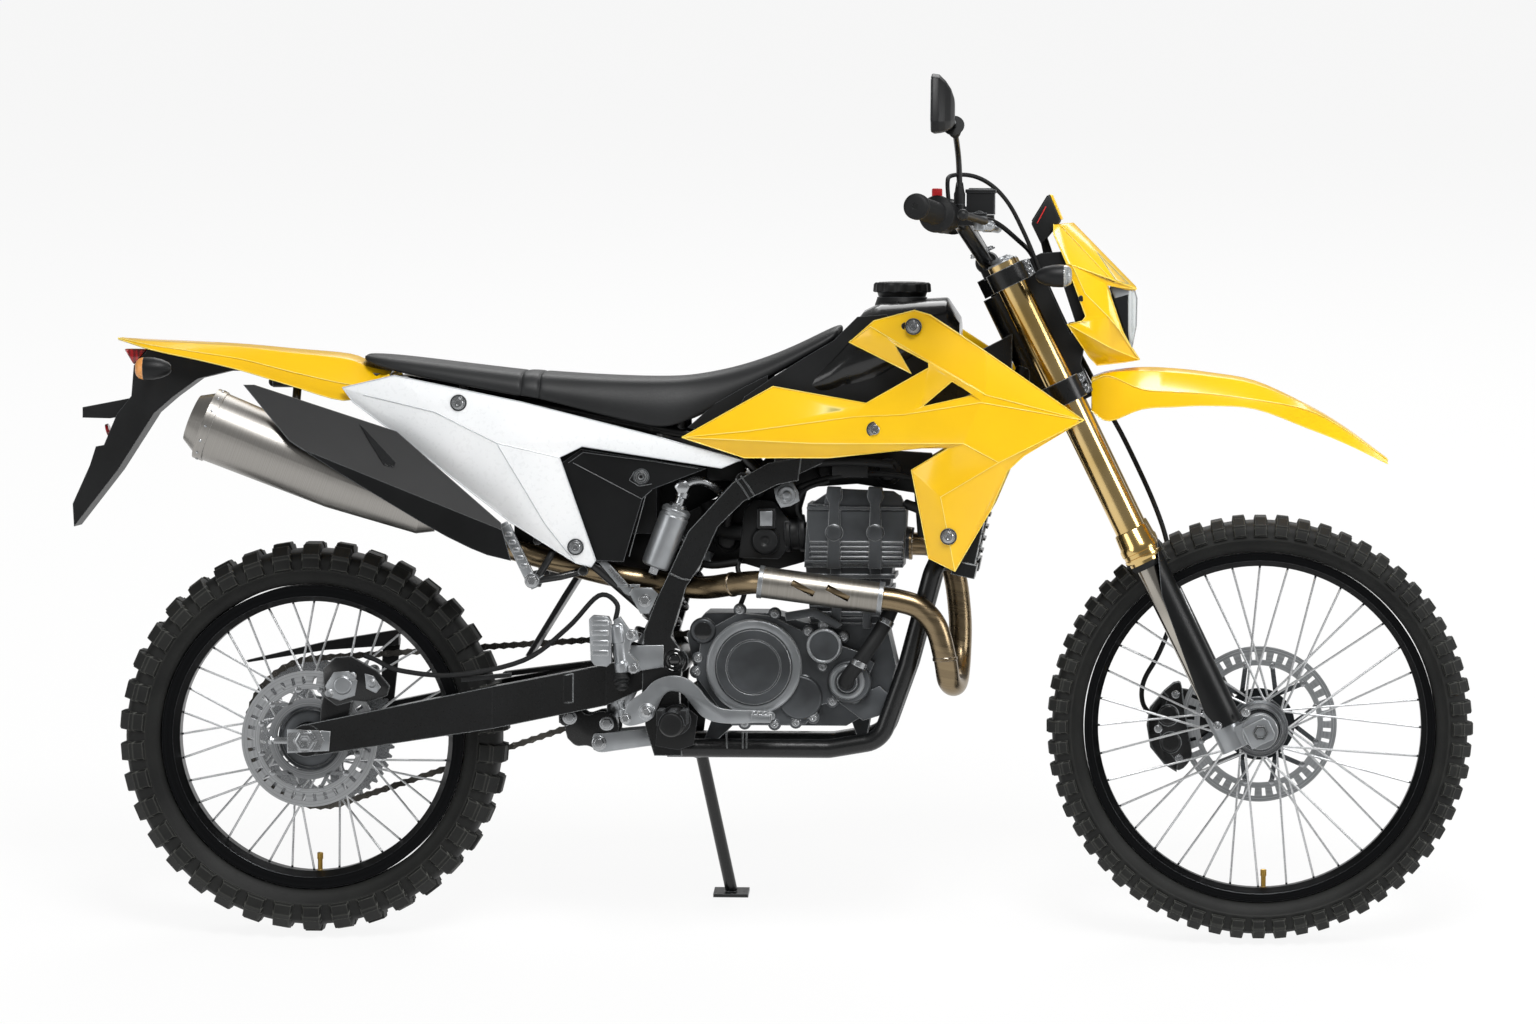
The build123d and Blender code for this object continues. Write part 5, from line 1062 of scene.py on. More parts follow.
SIGNAL_BODY = [(13, 17.8), (18, 18.2), (30, 17.8), (42, 15), (52, 10.5), (57, 6), (58, 0.5)]
SIGNAL_LENS = [(0, 8), (1.5, 12), (5, 15.6), (9, 17.2), (13, 17.7), (14, 10)]


class MOTO_OT_signals(bpy.types.Operator):
    """Bullet-shaped turn signals and the wedge of the tail lamp"""
    bl_idname, bl_label = "moto.signals", "Turn signals and tail lamp"

    def execute(self, context):
        for name, body, x, y, z, way, lens, node in (("front", "steering", 1226, 148, 1066, -1, "clear lens",
                "front_indicators"), ("rear", "chassis", -272, 130, 914, 1, "moulded amber plastic", "rear_lamps")):
            for part, profile, finish, slot in (("bodies", SIGNAL_BODY, NYLON, "black_plastic"),
                    ("lenses", SIGNAL_LENS, lens, "clear_lens")):
                bm = bmesh.new()
                for side in (-1, 1):
                    add_turned(bm, (x, side * y, z), (way, 0, 0), profile, sides=32)
                finished(bm, f"{name}_signal_{part}", finish, node, body=body)
        bm = bmesh.new()
        add_prism(bm, [(-306, 944), (-268, 943.4), (-290.3, 918)], -39, 39)
        finished(bm, "tail_lamp_lens", "red lens", edge=3)
        bm = bmesh.new()
        add_prism(bm, [(-298, 941.5), (-274, 941), (-289, 924)], -34, 34)
        finished(bm, "tail_lamp_inner", "moulded red plastic", edge=1)
        bm = bmesh.new()
        add_turned(bm, (-334, 0, 810), (-1, 0, -0.35), [(0, 13), (5, 13), (6, 11)], sides=28)
        finished(bm, "rear_reflector", "red lens")
        return {"FINISHED"}


# ---------------------------------------------------------------- fork, tank, engine and exhaust trim
def add_ring(bm, centre, axis, profile, sides=48):
    """A closed ring turned about an axis from a closed outline of (along, radius)."""
    centre, axis = Vector(centre), Vector(axis).normalized()
    one, two = across(axis)
    rows = []
    for i in range(sides):
        a = 2 * pi * i / sides
        rows.append([bm.verts.new(centre + axis * along + (one * cos(a) + two * sin(a)) * r) for along, r in profile])
    for near, far in zip(rows, rows[1:] + rows[:1]):
        for j in range(len(profile)):
            k = (j + 1) % len(profile)
            bm.faces.new((near[j], near[k], far[k], far[j]))


SILENCER_AT, SILENCER_WAY = Vector((-150, -134, 824)), Vector((0.9292, 0, -0.3696))


class MOTO_OT_trim(bpy.types.Operator):
    """Fork caps and seals, fuel cap, valves, covers' rings, pipes and the guard's vent"""
    bl_idname, bl_label = "moto.trim", "Trim"

    def execute(self, context):
        up = fork(0, 0, 1) - fork(0, 0, 0)
        bm = bmesh.new()
        for side in (-1, 1):
            add_turned(bm, fork(-47, side * 100, 849), up, [(0, 23), (3, 23), (5, 21), (5, 17), (8, 15), (11, 14),
                (11, 6), (8, 5)], sides=36)
        finished(bm, "fork_caps", CAST, body="steering", edge=0.5)
        bm = bmesh.new()
        for side in (-1, 1):
            add_ring(bm, fork(-47, side * 100, 312), up, [(0, 20.4), (0, 22), (4, 24.5), (12, 25), (12, 20.4)])
        finished(bm, "fork_seals", RUBBER, body="steering")
        bm = bmesh.new()
        for side in (-1, 1):
            add_ring(bm, fork(-47, side * 100, 327), up, [(0, 24), (0, 29), (2, 30.4), (7, 30.4), (8, 29.2),
                (14, 29.2), (15, 30.8), (24, 30.8), (27, 29), (50, 27.4), (52, 26), (52, 24)])
        finished(bm, "fork_collars", "anodised aluminium gold", body="steering", crease=40)
        bm = bmesh.new()
        for side in (-1, 1):
            start = Vector((WHEELBASE, side * 122.5, FRONT_R))
            add_loft(bm, [[start + Vector((0, side * out, 0)) + (fork(a * size, 0, b * size) - fork(0, 0, 0)) for a,
                b in ((-24, -19), (14, -19), (20, -12), (20, 12), (14, 19), (-24, 19))] for out,
                size in ((0, 1), (7, 1), (8, 0.94))])
        finished(bm, "axle_clamps", CAST, body="steering", edge=1.2)
        bm = bmesh.new()
        for side in (-1, 1):
            start = Vector((WHEELBASE, side * 128, FRONT_R))
            add_turned(bm, start, (0, side, 0), [(0, 13), (5, 13), (6.5, 11.5), (6.5, 8), (1, 7.6)], sides=6)
        finished(bm, "axle_nuts", COATED, body="steering")
        for wheel, centre, y, profile in (("front", (WHEELBASE, 0, FRONT_R), 40,
                [(0, 20), (0, 45), (3, 46), (6, 45), (8, 41), (22, 38), (26, 36), (27, 33), (24, 30), (24, 20)]),
                ("rear", (0, 0, REAR_R), 42, [(0, 26), (0, 53), (3, 54), (6, 53), (8, 48), (20, 46), (22, 43),
                (22, 26)])):
            bm = bmesh.new()
            for side in (-1, 1):
                add_ring(bm, Vector(centre) + Vector((0, side * y, 0)), (0, side, 0), profile)
            finished(bm, f"{wheel}_hub_flanges", ENGINE, body=f"{wheel}_wheel", crease=40)
        bm = bmesh.new()
        add_turned(bm, (951, 0, 1031.3), UP, [(0, 38), (7, 40), (8, 45)], sides=96)
        add_turned(bm, (951, 0, 1038.5), UP, [(0, 44), (1.5, 47), (13, 46), (16, 43)], sides=96, lobes=12, depth=4)
        add_turned(bm, (951, 0, 1053), UP, [(0, 40), (2.2, 37), (3, 20), (3.2, 0.5)], sides=64)
        finished(bm, "filler_cap", NYLON, "fuel_cap", edge=0.6)
        for body, centre, reach in (("front_wheel", (WHEELBASE, 0, FRONT_R), 259),
                ("rear_wheel", (0, 0, REAR_R), 219)):
            bm = bmesh.new()
            foot = Vector(centre) + Vector((8, 0, -reach - 2))
            add_turned(bm, foot, UP, [(0, 6), (3, 6), (3, 4), (20, 4), (20, 5), (30, 5), (31, 3)], sides=16)
            finished(bm, f"{body}_valve", "drawn brass", body=body)
        bm = bmesh.new()
        for x, z, y, inner, outer in ((719, 439, -99, 60.4, 75.5), (832, 474, -104, 23, 27.5),
                (869, 416, -98, 18, 27)):
            add_ring(bm, (x, y, z), RIGHT, [(-0.2, inner), (0.8, inner + 0.8), (1.4, inner + 2), (1.4, outer - 2),
                (0.6, outer - 0.4), (-0.2, outer)], 72)
        finished(bm, "cover_rings", CAST, crease=40)
        bm = bmesh.new()
        add_turned(bm, (719, -101, 439), RIGHT, [(0, 43.5), (2, 43.5), (3, 42)], sides=64)
        finished(bm, "clutch_plate", ENGINE)
        bm = bmesh.new()
        for x, width in ((848, 9), (912, 9)):
            for foot, top, out in ((520, 600, 64), (598, 694, 73.5), (694, 714, 60)):
                add_box(bm, (x - width, -out, foot), (x + width, -out + 6, top))
        for z, out, x0, x1 in ((690, 75, 802, 960), (604, 75, 800, 958)):
            add_box(bm, (x0, -out, z), (x1, -out + 6, z + 6))
        finished(bm, "head_ribs", ENGINE, edge=1.6)
        bm = bmesh.new()
        add_pipe(bm, smooth_path([(869, -106, 416), (868, -119, 419), (876, -122, 432), (898, -118, 462),
            (926, -104, 505), (950, -98, 560)], 6), 12)
        finished(bm, "coolant_pipe", RUBBER)
        bm = bmesh.new()
        vent = []
        for x, z in ((91, 826), (99, 819), (152, 766), (150, 759), (134, 763), (108, 800)):
            rise = (x + 150) * 0.3696 + (z - 824) * 0.9292
            vent.append(Vector((x, -134 - 66.8 + (rise - 24) * 62 / 80, z)))
        tilt = Vector((0, -0.79, 0.61))
        add_loft(bm, [vent, [p + tilt * 1.2 for p in vent]])
        finished(bm, "guard_vent", "smoked acrylic")
        return {"FINISHED"}


# ---------------------------------------------------------------- tyres, tank and chassis dressing
TYRES = [  # wheel, centre, tread radius, knob height, half width, rim radius and half width, knobs round
    ("front", (WHEELBASE, 0, FRONT_R), FRONT_R, 9, 46, 282.5, 24, 60),
    ("rear", (0, 0, REAR_R), REAR_R, 12, 56, 248, 34, 38)]


def knob():
    """A tread block: straight at its foot, drafted to a smaller top, one unit each way."""
    bm = bmesh.new()
    add_loft(bm, [[(x * size, y * size, z) for x, y in ((-0.5, -0.5), (0.5, -0.5), (0.5, 0.5), (-0.5, 0.5))] for z,
        size in ((-0.5, 1.08), (0, 1.0), (0.93, 0.84), (1, 0.78))])
    return bm


class MOTO_OT_tyres(bpy.types.Operator):
    """Round the tyres' carcasses and set their tread blocks"""
    bl_idname, bl_label = "moto.tyres", "Tyres"

    def execute(self, context):
        for wheel, centre, radius, lug, half, bead, rim_half, count in TYRES:
            base, centre = radius - lug, Vector(centre)
            tall = base - bead
            right = [(rim_half, bead), (rim_half + 5, bead + 2), (rim_half + 8, bead + 8),
                (half - 6, bead + tall * 0.36), (half - 4.5, bead + tall * 0.38), (half - 4, bead + tall * 0.42),
                (half - 5, bead + tall * 0.45), (half - 3.5, bead + tall * 0.62), (half - 8, base - lug * 0.7),
                (half * 0.62, base - 1.5), (half * 0.3, base)]
            bm = bmesh.new()
            add_ring(bm, centre, LEFT, right + [(-y, r) for y, r in reversed(right)], 128)
            finished(bm, f"{wheel}_tyre_carcass", "tyre rubber", f"{wheel}_tyre", body=f"{wheel}_wheel", crease=75)
            pitch = 2 * pi * radius / count
            rows = [(half * 0.7, base - lug * 1.05, 42, pitch * 0.62, half * 0.5, lug * 1.35),
                (half * 0.93, base - lug * 1.7, 80, pitch * 0.58, lug * 2.1, lug * 0.34)]
            spots = []
            for i in range(count):
                rows_now = rows + ([(0, base, 0, pitch * 0.62, half * 0.78, lug * 0.97)] if i % 2 else [(half * 0.36,
                    base - 0.5, 8, pitch * 0.6, half * 0.44, lug * 0.8)])
                a = 2 * pi * i / count
                radial, around = Vector((sin(a), 0, cos(a))), Vector((cos(a), 0, -sin(a)))
                for y, r, tilt, long, wide, high in rows_now:
                    for side in ((-1, 1) if y else (1,)):
                        out = radial * cos(radians(tilt)) + Vector((0, side, 0)) * sin(radians(tilt))
                        spots.append((centre + radial * r + Vector((0, side * y, 0)), out, around,
                            (long, wide, high)))
            repeated(f"{wheel}_tyre_knobs", knob(), spots, MM, "tyre rubber", f"{wheel}_tyre", body=f"{wheel}_wheel")
        return {"FINISHED"}


TANK = [  # x, low, belly and top heights, half widths of foot, belly and shoulder
    (690, 800, 828, 867, 60, 78, 62), (752, 804, 850, 903, 60, 92, 70), (800, 814, 872, 931, 60, 106, 77),
    (841, 826, 890, 954, 60, 118, 82), (862, 838, 905, 972, 60, 124, 88), (892, 852, 912, 1010, 60, 126, 92),
    (921, 868, 920, 1024, 56, 126, 92), (975, 896, 940, 1028, 48, 114, 84), (1025, 922, 958, 1031, 40, 100, 74),
    (1046, 934, 966, 1000, 36, 84, 60)]


class MOTO_OT_tank(bpy.types.Operator):
    """Blow-mould the tank with soft shoulders"""
    bl_idname, bl_label = "moto.tank", "Fuel tank"

    def execute(self, context):
        rings = []
        for x, low, belly, high, foot, wide, shoulder in TANK:
            half = smooth_path([(x, -foot, low), (x, -wide, belly), (x, -(wide - 4), (belly + high) / 2 + 4),
                (x, -shoulder, high - 9), (x, -shoulder * 0.45, high - 1.5), (x, 0, high)], 3)
            rings.append(half + mirrored(reversed(half[:-1])))
        bm = bmesh.new()
        add_loft(bm, rings)
        finished(bm, "tank_shell", "painted gloss black", "fuel_tank", crease=50, edge=3, bevel_angle=40)
        bm = bmesh.new()
        add_turned(bm, (951, 0, 985), UP, [(0, 44), (34, 44), (42, 41), (46, 40)], sides=64)
        for side in (-1, 1):
            add_turned(bm, (800, side * 74, 795), UP, [(0, 9), (50, 9)], sides=16)
            add_turned(bm, (980, side * 42, 895), UP, [(0, 9), (50, 9)], sides=16)
            add_prism(bm, [(612, 822), (655, 860), (700, 886), (740, 906), (740, 840), (690, 806)], side * 92,
                side * 97)
            add_prism(bm, [(694, 852), (704, 872), (752, 905), (800, 935), (846, 962), (884, 1000), (930, 1004),
                (1004, 940), (1000, 880), (900, 850)], side * 110, side * 113)
        finished(bm, "tank_neck_and_rests", NYLON, "fuel_tank")
        return {"FINISHED"}


def add_bolts(bm, spots, way, radius, tall):
    """Flanged hexagon bolts standing at (x, y, z) spots."""
    for spot in spots:
        add_turned(bm, spot, way, [(-2, radius * 1.35), (1.2, radius * 1.35), (1.8, radius * 1.1)], sides=18)
        add_turned(bm, spot, way, [(0, radius), (tall - 0.8, radius), (tall, radius * 0.82)], sides=6)


THROTTLE_BLOCK = [(692, 612), (700, 690), (716, 706), (748, 704), (776, 668), (772, 628), (756, 610)]
BAY_PIPES = [  # route, radius: breather, wiring and fuel lines of the engine bay
    ([(760, -30, 705), (790, -62, 726), (842, -66, 742), (905, -60, 748), (968, -52, 742), (1000, -58, 720)], 5),
    ([(716, -34, 700), (742, -60, 738), (800, -78, 762), (868, -84, 768), (940, -78, 764)], 6.5),
    ([(690, -20, 640), (672, -46, 668), (690, -58, 712), (728, -66, 748), (770, -70, 778)], 7),
    ([(806, -40, 655), (786, -66, 690), (800, -72, 722), (838, -76, 736)], 3.2),
    ([(700, -30, 620), (690, -52, 596), (702, -60, 560), (690, -66, 524)], 4),
    ([(960, -60, 700), (985, -76, 690), (1004, -84, 664), (1010, -86, 640)], 8),
    ([(560, -30, 640), (590, -40, 620), (640, -46, 600), (690, -50, 604)], 6),
    ([(640, -30, 700), (660, -34, 660), (700, -46, 652)], 14)]


HEADER = [(966, 0, 634), (1004, 0, 629), (1034, -2, 594), (1046, -4, 520), (1046, -20, 452), (1042, -62, 414),
    (1032, -104, 420), (1026, -123, 456), (1012, -126, 506), (986, -125, 536), (952, -125, 548), (916, -125, 553),
    (828, -125, 564), (740, -125, 576), (684, -92, 571), (630, -60, 564), (550, -58, 573), (470, -62, 588),
    (318, -84, 630), (240, -134, 669)]


class MOTO_OT_engine_dress(bpy.types.Operator):
    """Fill the engine bay: throttle body, starter, coil, lines, fins, bosses and welds"""
    bl_idname, bl_label = "moto.engine_dress", "Engine bay"

    def execute(self, context):
        bm = bmesh.new()
        add_prism(bm, THROTTLE_BLOCK, -56, -14)
        add_turned(bm, (766, -34, 650), (1, 0, 0.05), [(0, 30), (8, 30), (9, 26), (22, 26), (23, 30), (32, 30)],
            sides=36)
        add_turned(bm, (735, -56, 640), RIGHT, [(0, 24), (6, 24), (8, 20), (12, 20), (12, 8), (9, 6)], sides=36)
        add_box(bm, (722, -72, 660), (752, -56, 692))
        add_box(bm, (640, -40, 735), (700, -16, 772))
        add_box(bm, (842, -70, 742), (900, -44, 772))
        add_prism(bm, [(636, 604), (648, 660), (690, 730), (742, 780), (830, 790), (1000, 780), (1010, 700),
            (1000, 640), (978, 640), (972, 716), (880, 730), (800, 724), (790, 690), (796, 604), (740, 588),
            (700, 600)], -14, 14)
        add_prism(bm, [(470, 600), (500, 640), (560, 660), (620, 690), (640, 700), (600, 600), (560, 560)], -8, 8)
        for x, z, r in ((672, 640, 22), (704, 726, 20), (830, 752, 18), (930, 750, 22)):
            add_turned(bm, (x, -14, z), RIGHT, [(0, r), (14, r), (16, r * 0.7), (24, r * 0.6)], sides=24)
        add_prism(bm, [(452, 640), (440, 750), (500, 784), (640, 772), (700, 764), (694, 730), (640, 700), (612, 640),
            (588, 590), (540, 560)], 36, 60)
        finished(bm, "throttle_body", NYLON, edge=2.5)
        bm = bmesh.new()
        for route, radius in BAY_PIPES:
            add_pipe(bm, smooth_path(route, 6), radius, 14)
        finished(bm, "bay_lines", RUBBER)
        bm = bmesh.new()
        corner = 23
        diamond = [(770 + r * cos(a), 714 + r * sin(a)) for a, r in ((radians(45 * k + 20),
            corner if k % 2 else corner * 0.82) for k in range(8))]
        add_prism(bm, diamond, -74, -70)
        add_turned(bm, (770, -74, 714), RIGHT, [(0, 15), (3, 14), (3, 10), (1.5, 9.5), (1.5, 6), (4, 5.5), (4.5, 2)],
            sides=32)
        add_box(bm, (727, -75, 664), (747, -72, 688))
        for x0, x1, z in ((505, 526, 566), (521, 541, 566)):
            add_box(bm, (x0 - 4, -107, z), (x1 - 4, -103.5, z + 5))
        finished(bm, "coil_cap", CAST, edge=1)
        bm = bmesh.new()
        for z in range(604, 640, 8):
            add_box(bm, (806, -74, z), (958, -60, z + 3.4))
        for z in range(506, 552, 9):
            add_box(bm, (806, -67, z), (906, -56, z + 3.6))
        add_prism(bm, [(806, 640), (812, 600), (952, 600), (956, 640), (962, 664), (962, 690), (802, 690),
            (802, 664)], -71, -60)
        add_prism(bm, [(828, 690), (832, 716), (842, 724), (940, 720), (952, 712), (960, 690)], -66, -40)
        for x in (846, 912):
            add_prism(bm, [(x - 11, 596), (x - 8, 700), (x - 13, 712), (x - 11, 728), (x + 11, 727), (x + 13, 711),
                (x + 8, 700), (x + 11, 596)], -79, -60)
        for x, z in ((846, 654), (912, 654)):
            add_turned(bm, (x, -70, z), RIGHT, [(0, 14), (10, 13), (11, 9)], sides=24)
        add_prism(bm, [(838, 500), (845, 548), (858, 548), (858, 500)], -74, -60)
        add_prism(bm, [(892, 500), (892, 548), (904, 548), (906, 500)], -74, -60)
        finished(bm, "head_castings", ENGINE, edge=1.6)
        bm = bmesh.new()
        for x, z in CASE_SCREWS:
            add_turned(bm, (x, -84, z), RIGHT, [(0, 11), (3.6, 9.5), (4.6, 8.6)], sides=20)
        for x, z, r, low, high in ((793, 390, 34, 84, 94), (637, 496, 19, 86, 92), (872, 416, 33, 84, 97)):
            add_turned(bm, (x, -low, z), RIGHT, [(0, r + 3), (high - low - 2, r + 1), (high - low, r - 1.5)],
                sides=48)
        add_prism(bm, [(770, 512), (812, 520), (850, 500), (862, 508), (816, 534), (768, 526)], -92, -80)
        add_prism(bm, [(850, 384), (893, 352), (958, 372), (920, 408), (880, 392)], -70, -30)
        add_turned(bm, (905, -30, 520), (0.6, -0.1, 0.75), [(0, 20), (28, 20), (32, 16)], sides=28)
        finished(bm, "case_bosses", ENGINE, edge=1)
        bm = bmesh.new()
        add_turned(bm, (637, -91.8, 496), RIGHT, [(0, 14), (0.8, 14), (1, 13)], sides=40)
        for centre, r, y in (((592, 450), 19, 103), ((592, 450), 13, 106)):
            add_ring(bm, (centre[0], -y, centre[1]), RIGHT, [(-2, r - 4), (1.5, r - 3.6), (2.4, r - 2),
                (1.5, r - 0.4), (-2, r)], 40)
        add_turned(bm, (592, -103, 450), RIGHT, [(0, 9), (3, 9), (4, 7)], sides=6)
        finished(bm, "pivot_cap", "smoked acrylic", crease=45)
        bm = bmesh.new()
        for route in ([(690, -104, 740), (702, -104.4, 724), (712, -104, 708)],
                [(698, -104, 745), (710, -104.4, 729), (720, -104, 713)], [(586, -104, 588), (604, -104.4, 580),
                (618, -104, 578)], [(676, -102, 335), (676, -104, 322), (677, -102, 309)],
                [(702, -102, 335), (702, -104, 322), (702, -102, 309)], [(708, -102, 335), (708, -104, 322),
                (708, -102, 309)]):
            add_pipe(bm, smooth_path(route, 4), 1.7, 10)
        finished(bm, "weld_beads", COATED)
        bm = bmesh.new()
        add_pipe(bm, smooth_path(HEADER, 8), 18.5, 40)
        for spot, way, r in ((HEADER[7], (-0.08, -0.05, 1), 19.6), ((966, 0, 634), (1, 0, 0), 26),
                (HEADER[14], (0.8, -0.55, 0.15), 19.6)):
            add_turned(bm, spot, way, [(-3, r - 1), (-2, r + 0.4), (2, r + 0.4), (3, r - 1)], sides=48)
        finished(bm, "header_pipe", "heat tinted stainless", "exhaust_pipe", crease=50)
        bm = bmesh.new()
        for along in (-97, 96):
            at = Vector((828, -125, 564.5)) + Vector((176, 0, -23)).normalized() * along
            add_turned(bm, at, (176, 0, -23), [(-4, 25.4), (-3.4, 26.4), (3.4, 26.4), (4, 25.4)], sides=64)
        finished(bm, "shield_bands", CAST)
        bm = bmesh.new()
        for at, way in (((888, -121, 446), (0.42, 0.1, 0.9)), ((930, -102, 512), (0.45, 0.25, 0.85))):
            add_turned(bm, at, way, [(-5, 12.6), (-4, 13.6), (4, 13.6), (5, 12.6)], sides=36)
        finished(bm, "hose_clamps", PLATED)
        return {"FINISHED"}


DISCS = [  # wheel, centre, y, wall, ring's radii, hole's radii, holes, arms' reach, arms
    ("front", (WHEELBASE, 0, FRONT_R), 58, 4, (95, 104, 117, 126), 40, (44, 58), 6),
    ("rear", (0, 0, REAR_R), -72, 4, (80, 89, 101, 110), 34, (52, 66), 6)]
CALIPER = [(1374, 394), (1356, 368), (1350, 340), (1356, 306), (1376, 280), (1400, 267), (1418, 284), (1420, 300),
    (1412, 340), (1406, 380), (1402, 408), (1390, 408)]


class MOTO_OT_discs(bpy.types.Operator):
    """Slot the floating brake discs and shape the front caliper"""
    bl_idname, bl_label = "moto.discs", "Brake discs"

    def execute(self, context):
        for wheel, centre, y, wall, radii, holes, hub, arms in DISCS:
            centre = Vector(centre) + Vector((0, y + wall / 2, 0))
            cells = holes * 6

            def at(r, a):
                return centre + Vector((r * sin(a), 0, r * cos(a)))

            bm = bmesh.new()
            rows = [[bm.verts.new(at(r, 2 * pi * i / cells)) for i in range(cells)] for r in (*radii, *hub)]
            for low, high, gap in ((0, 1, ()), (1, 2, (2, 3)), (2, 3, ()), (4, 5, ())):
                for i in range(cells):
                    if i % 6 not in gap:
                        j = (i + 1) % cells
                        bm.faces.new((rows[low][i], rows[low][j], rows[high][j], rows[high][i]))
            for k in range(arms):
                a = 2 * pi * (k + 0.5) / arms
                for way in (-1, 1):
                    foot, tip = at(hub[1] - 3, a), at(radii[0] + 2, a + way * 0.3)
                    side = at(1, a + way * 0.3 + pi / 2) - centre
                    bm.faces.new([bm.verts.new(p) for p in (foot - side * 4, foot + side * 4, tip + side * 4,
                        tip - side * 4)])
            face_out(bm, centre - Vector((0, 50, 0)))
            finished(bm, f"{wheel}_disc_slotted", f"ground disc {wheel}", f"{wheel}_disc", body=f"{wheel}_wheel",
                wall=wall, turn=False)
            bm = bmesh.new()
            for k in range(arms):
                for way in (-1, 1):
                    for out in (-1, 1):
                        add_turned(bm, at(radii[0] + 1, 2 * pi * (k + 0.5) / arms + way * 0.3) + Vector((0, -wall / 2,
                            0)), (0, out, 0), [(0, 5), (3.4, 5), (4, 3.5)], sides=16)
            finished(bm, f"{wheel}_disc_rivets", PLATED, f"{wheel}_disc", body=f"{wheel}_wheel")
        line = [(p.x, p.z) for p in smooth_path([(x, 0, z) for x, z in CALIPER], 3)]
        bm = bmesh.new()
        for low, high in ((66, 75), (41, 50)):
            add_prism(bm, line, low, high)
        add_prism(bm, [(1374, 394), (1352, 368), (1347, 340), (1353, 304), (1376, 276), (1396, 264), (1397, 280),
            (1374, 308), (1366, 341), (1382, 386)], 41, 75)
        add_prism(bm, [(1392, 290), (1452, 318), (1478, 350), (1462, 388), (1395, 400)], 68, 76)
        for x, z in ((1382, 356), (1386, 312)):
            add_turned(bm, (x, 43, z), RIGHT, [(0, 17), (5, 17), (7, 14), (7, 8)], sides=28)
            add_turned(bm, (x, 74, z), LEFT, [(0, 17), (5, 17), (7, 14), (7, 8)], sides=28)
        finished(bm, "front_caliper_body", COATED, "front_caliper", body="steering", edge=2)
        bm = bmesh.new()
        add_bolts(bm, [(1394, 41, 390), (1400, 41, 286), (1366, 41, 334)], RIGHT, 5, 4)
        add_bolts(bm, [(1394, 75, 390), (1400, 75, 286), (1440, 76, 340), (1452, 76, 370)], LEFT, 5, 4)
        finished(bm, "front_caliper_bolts", PLATED, "front_caliper", body="steering")
        return {"FINISHED"}


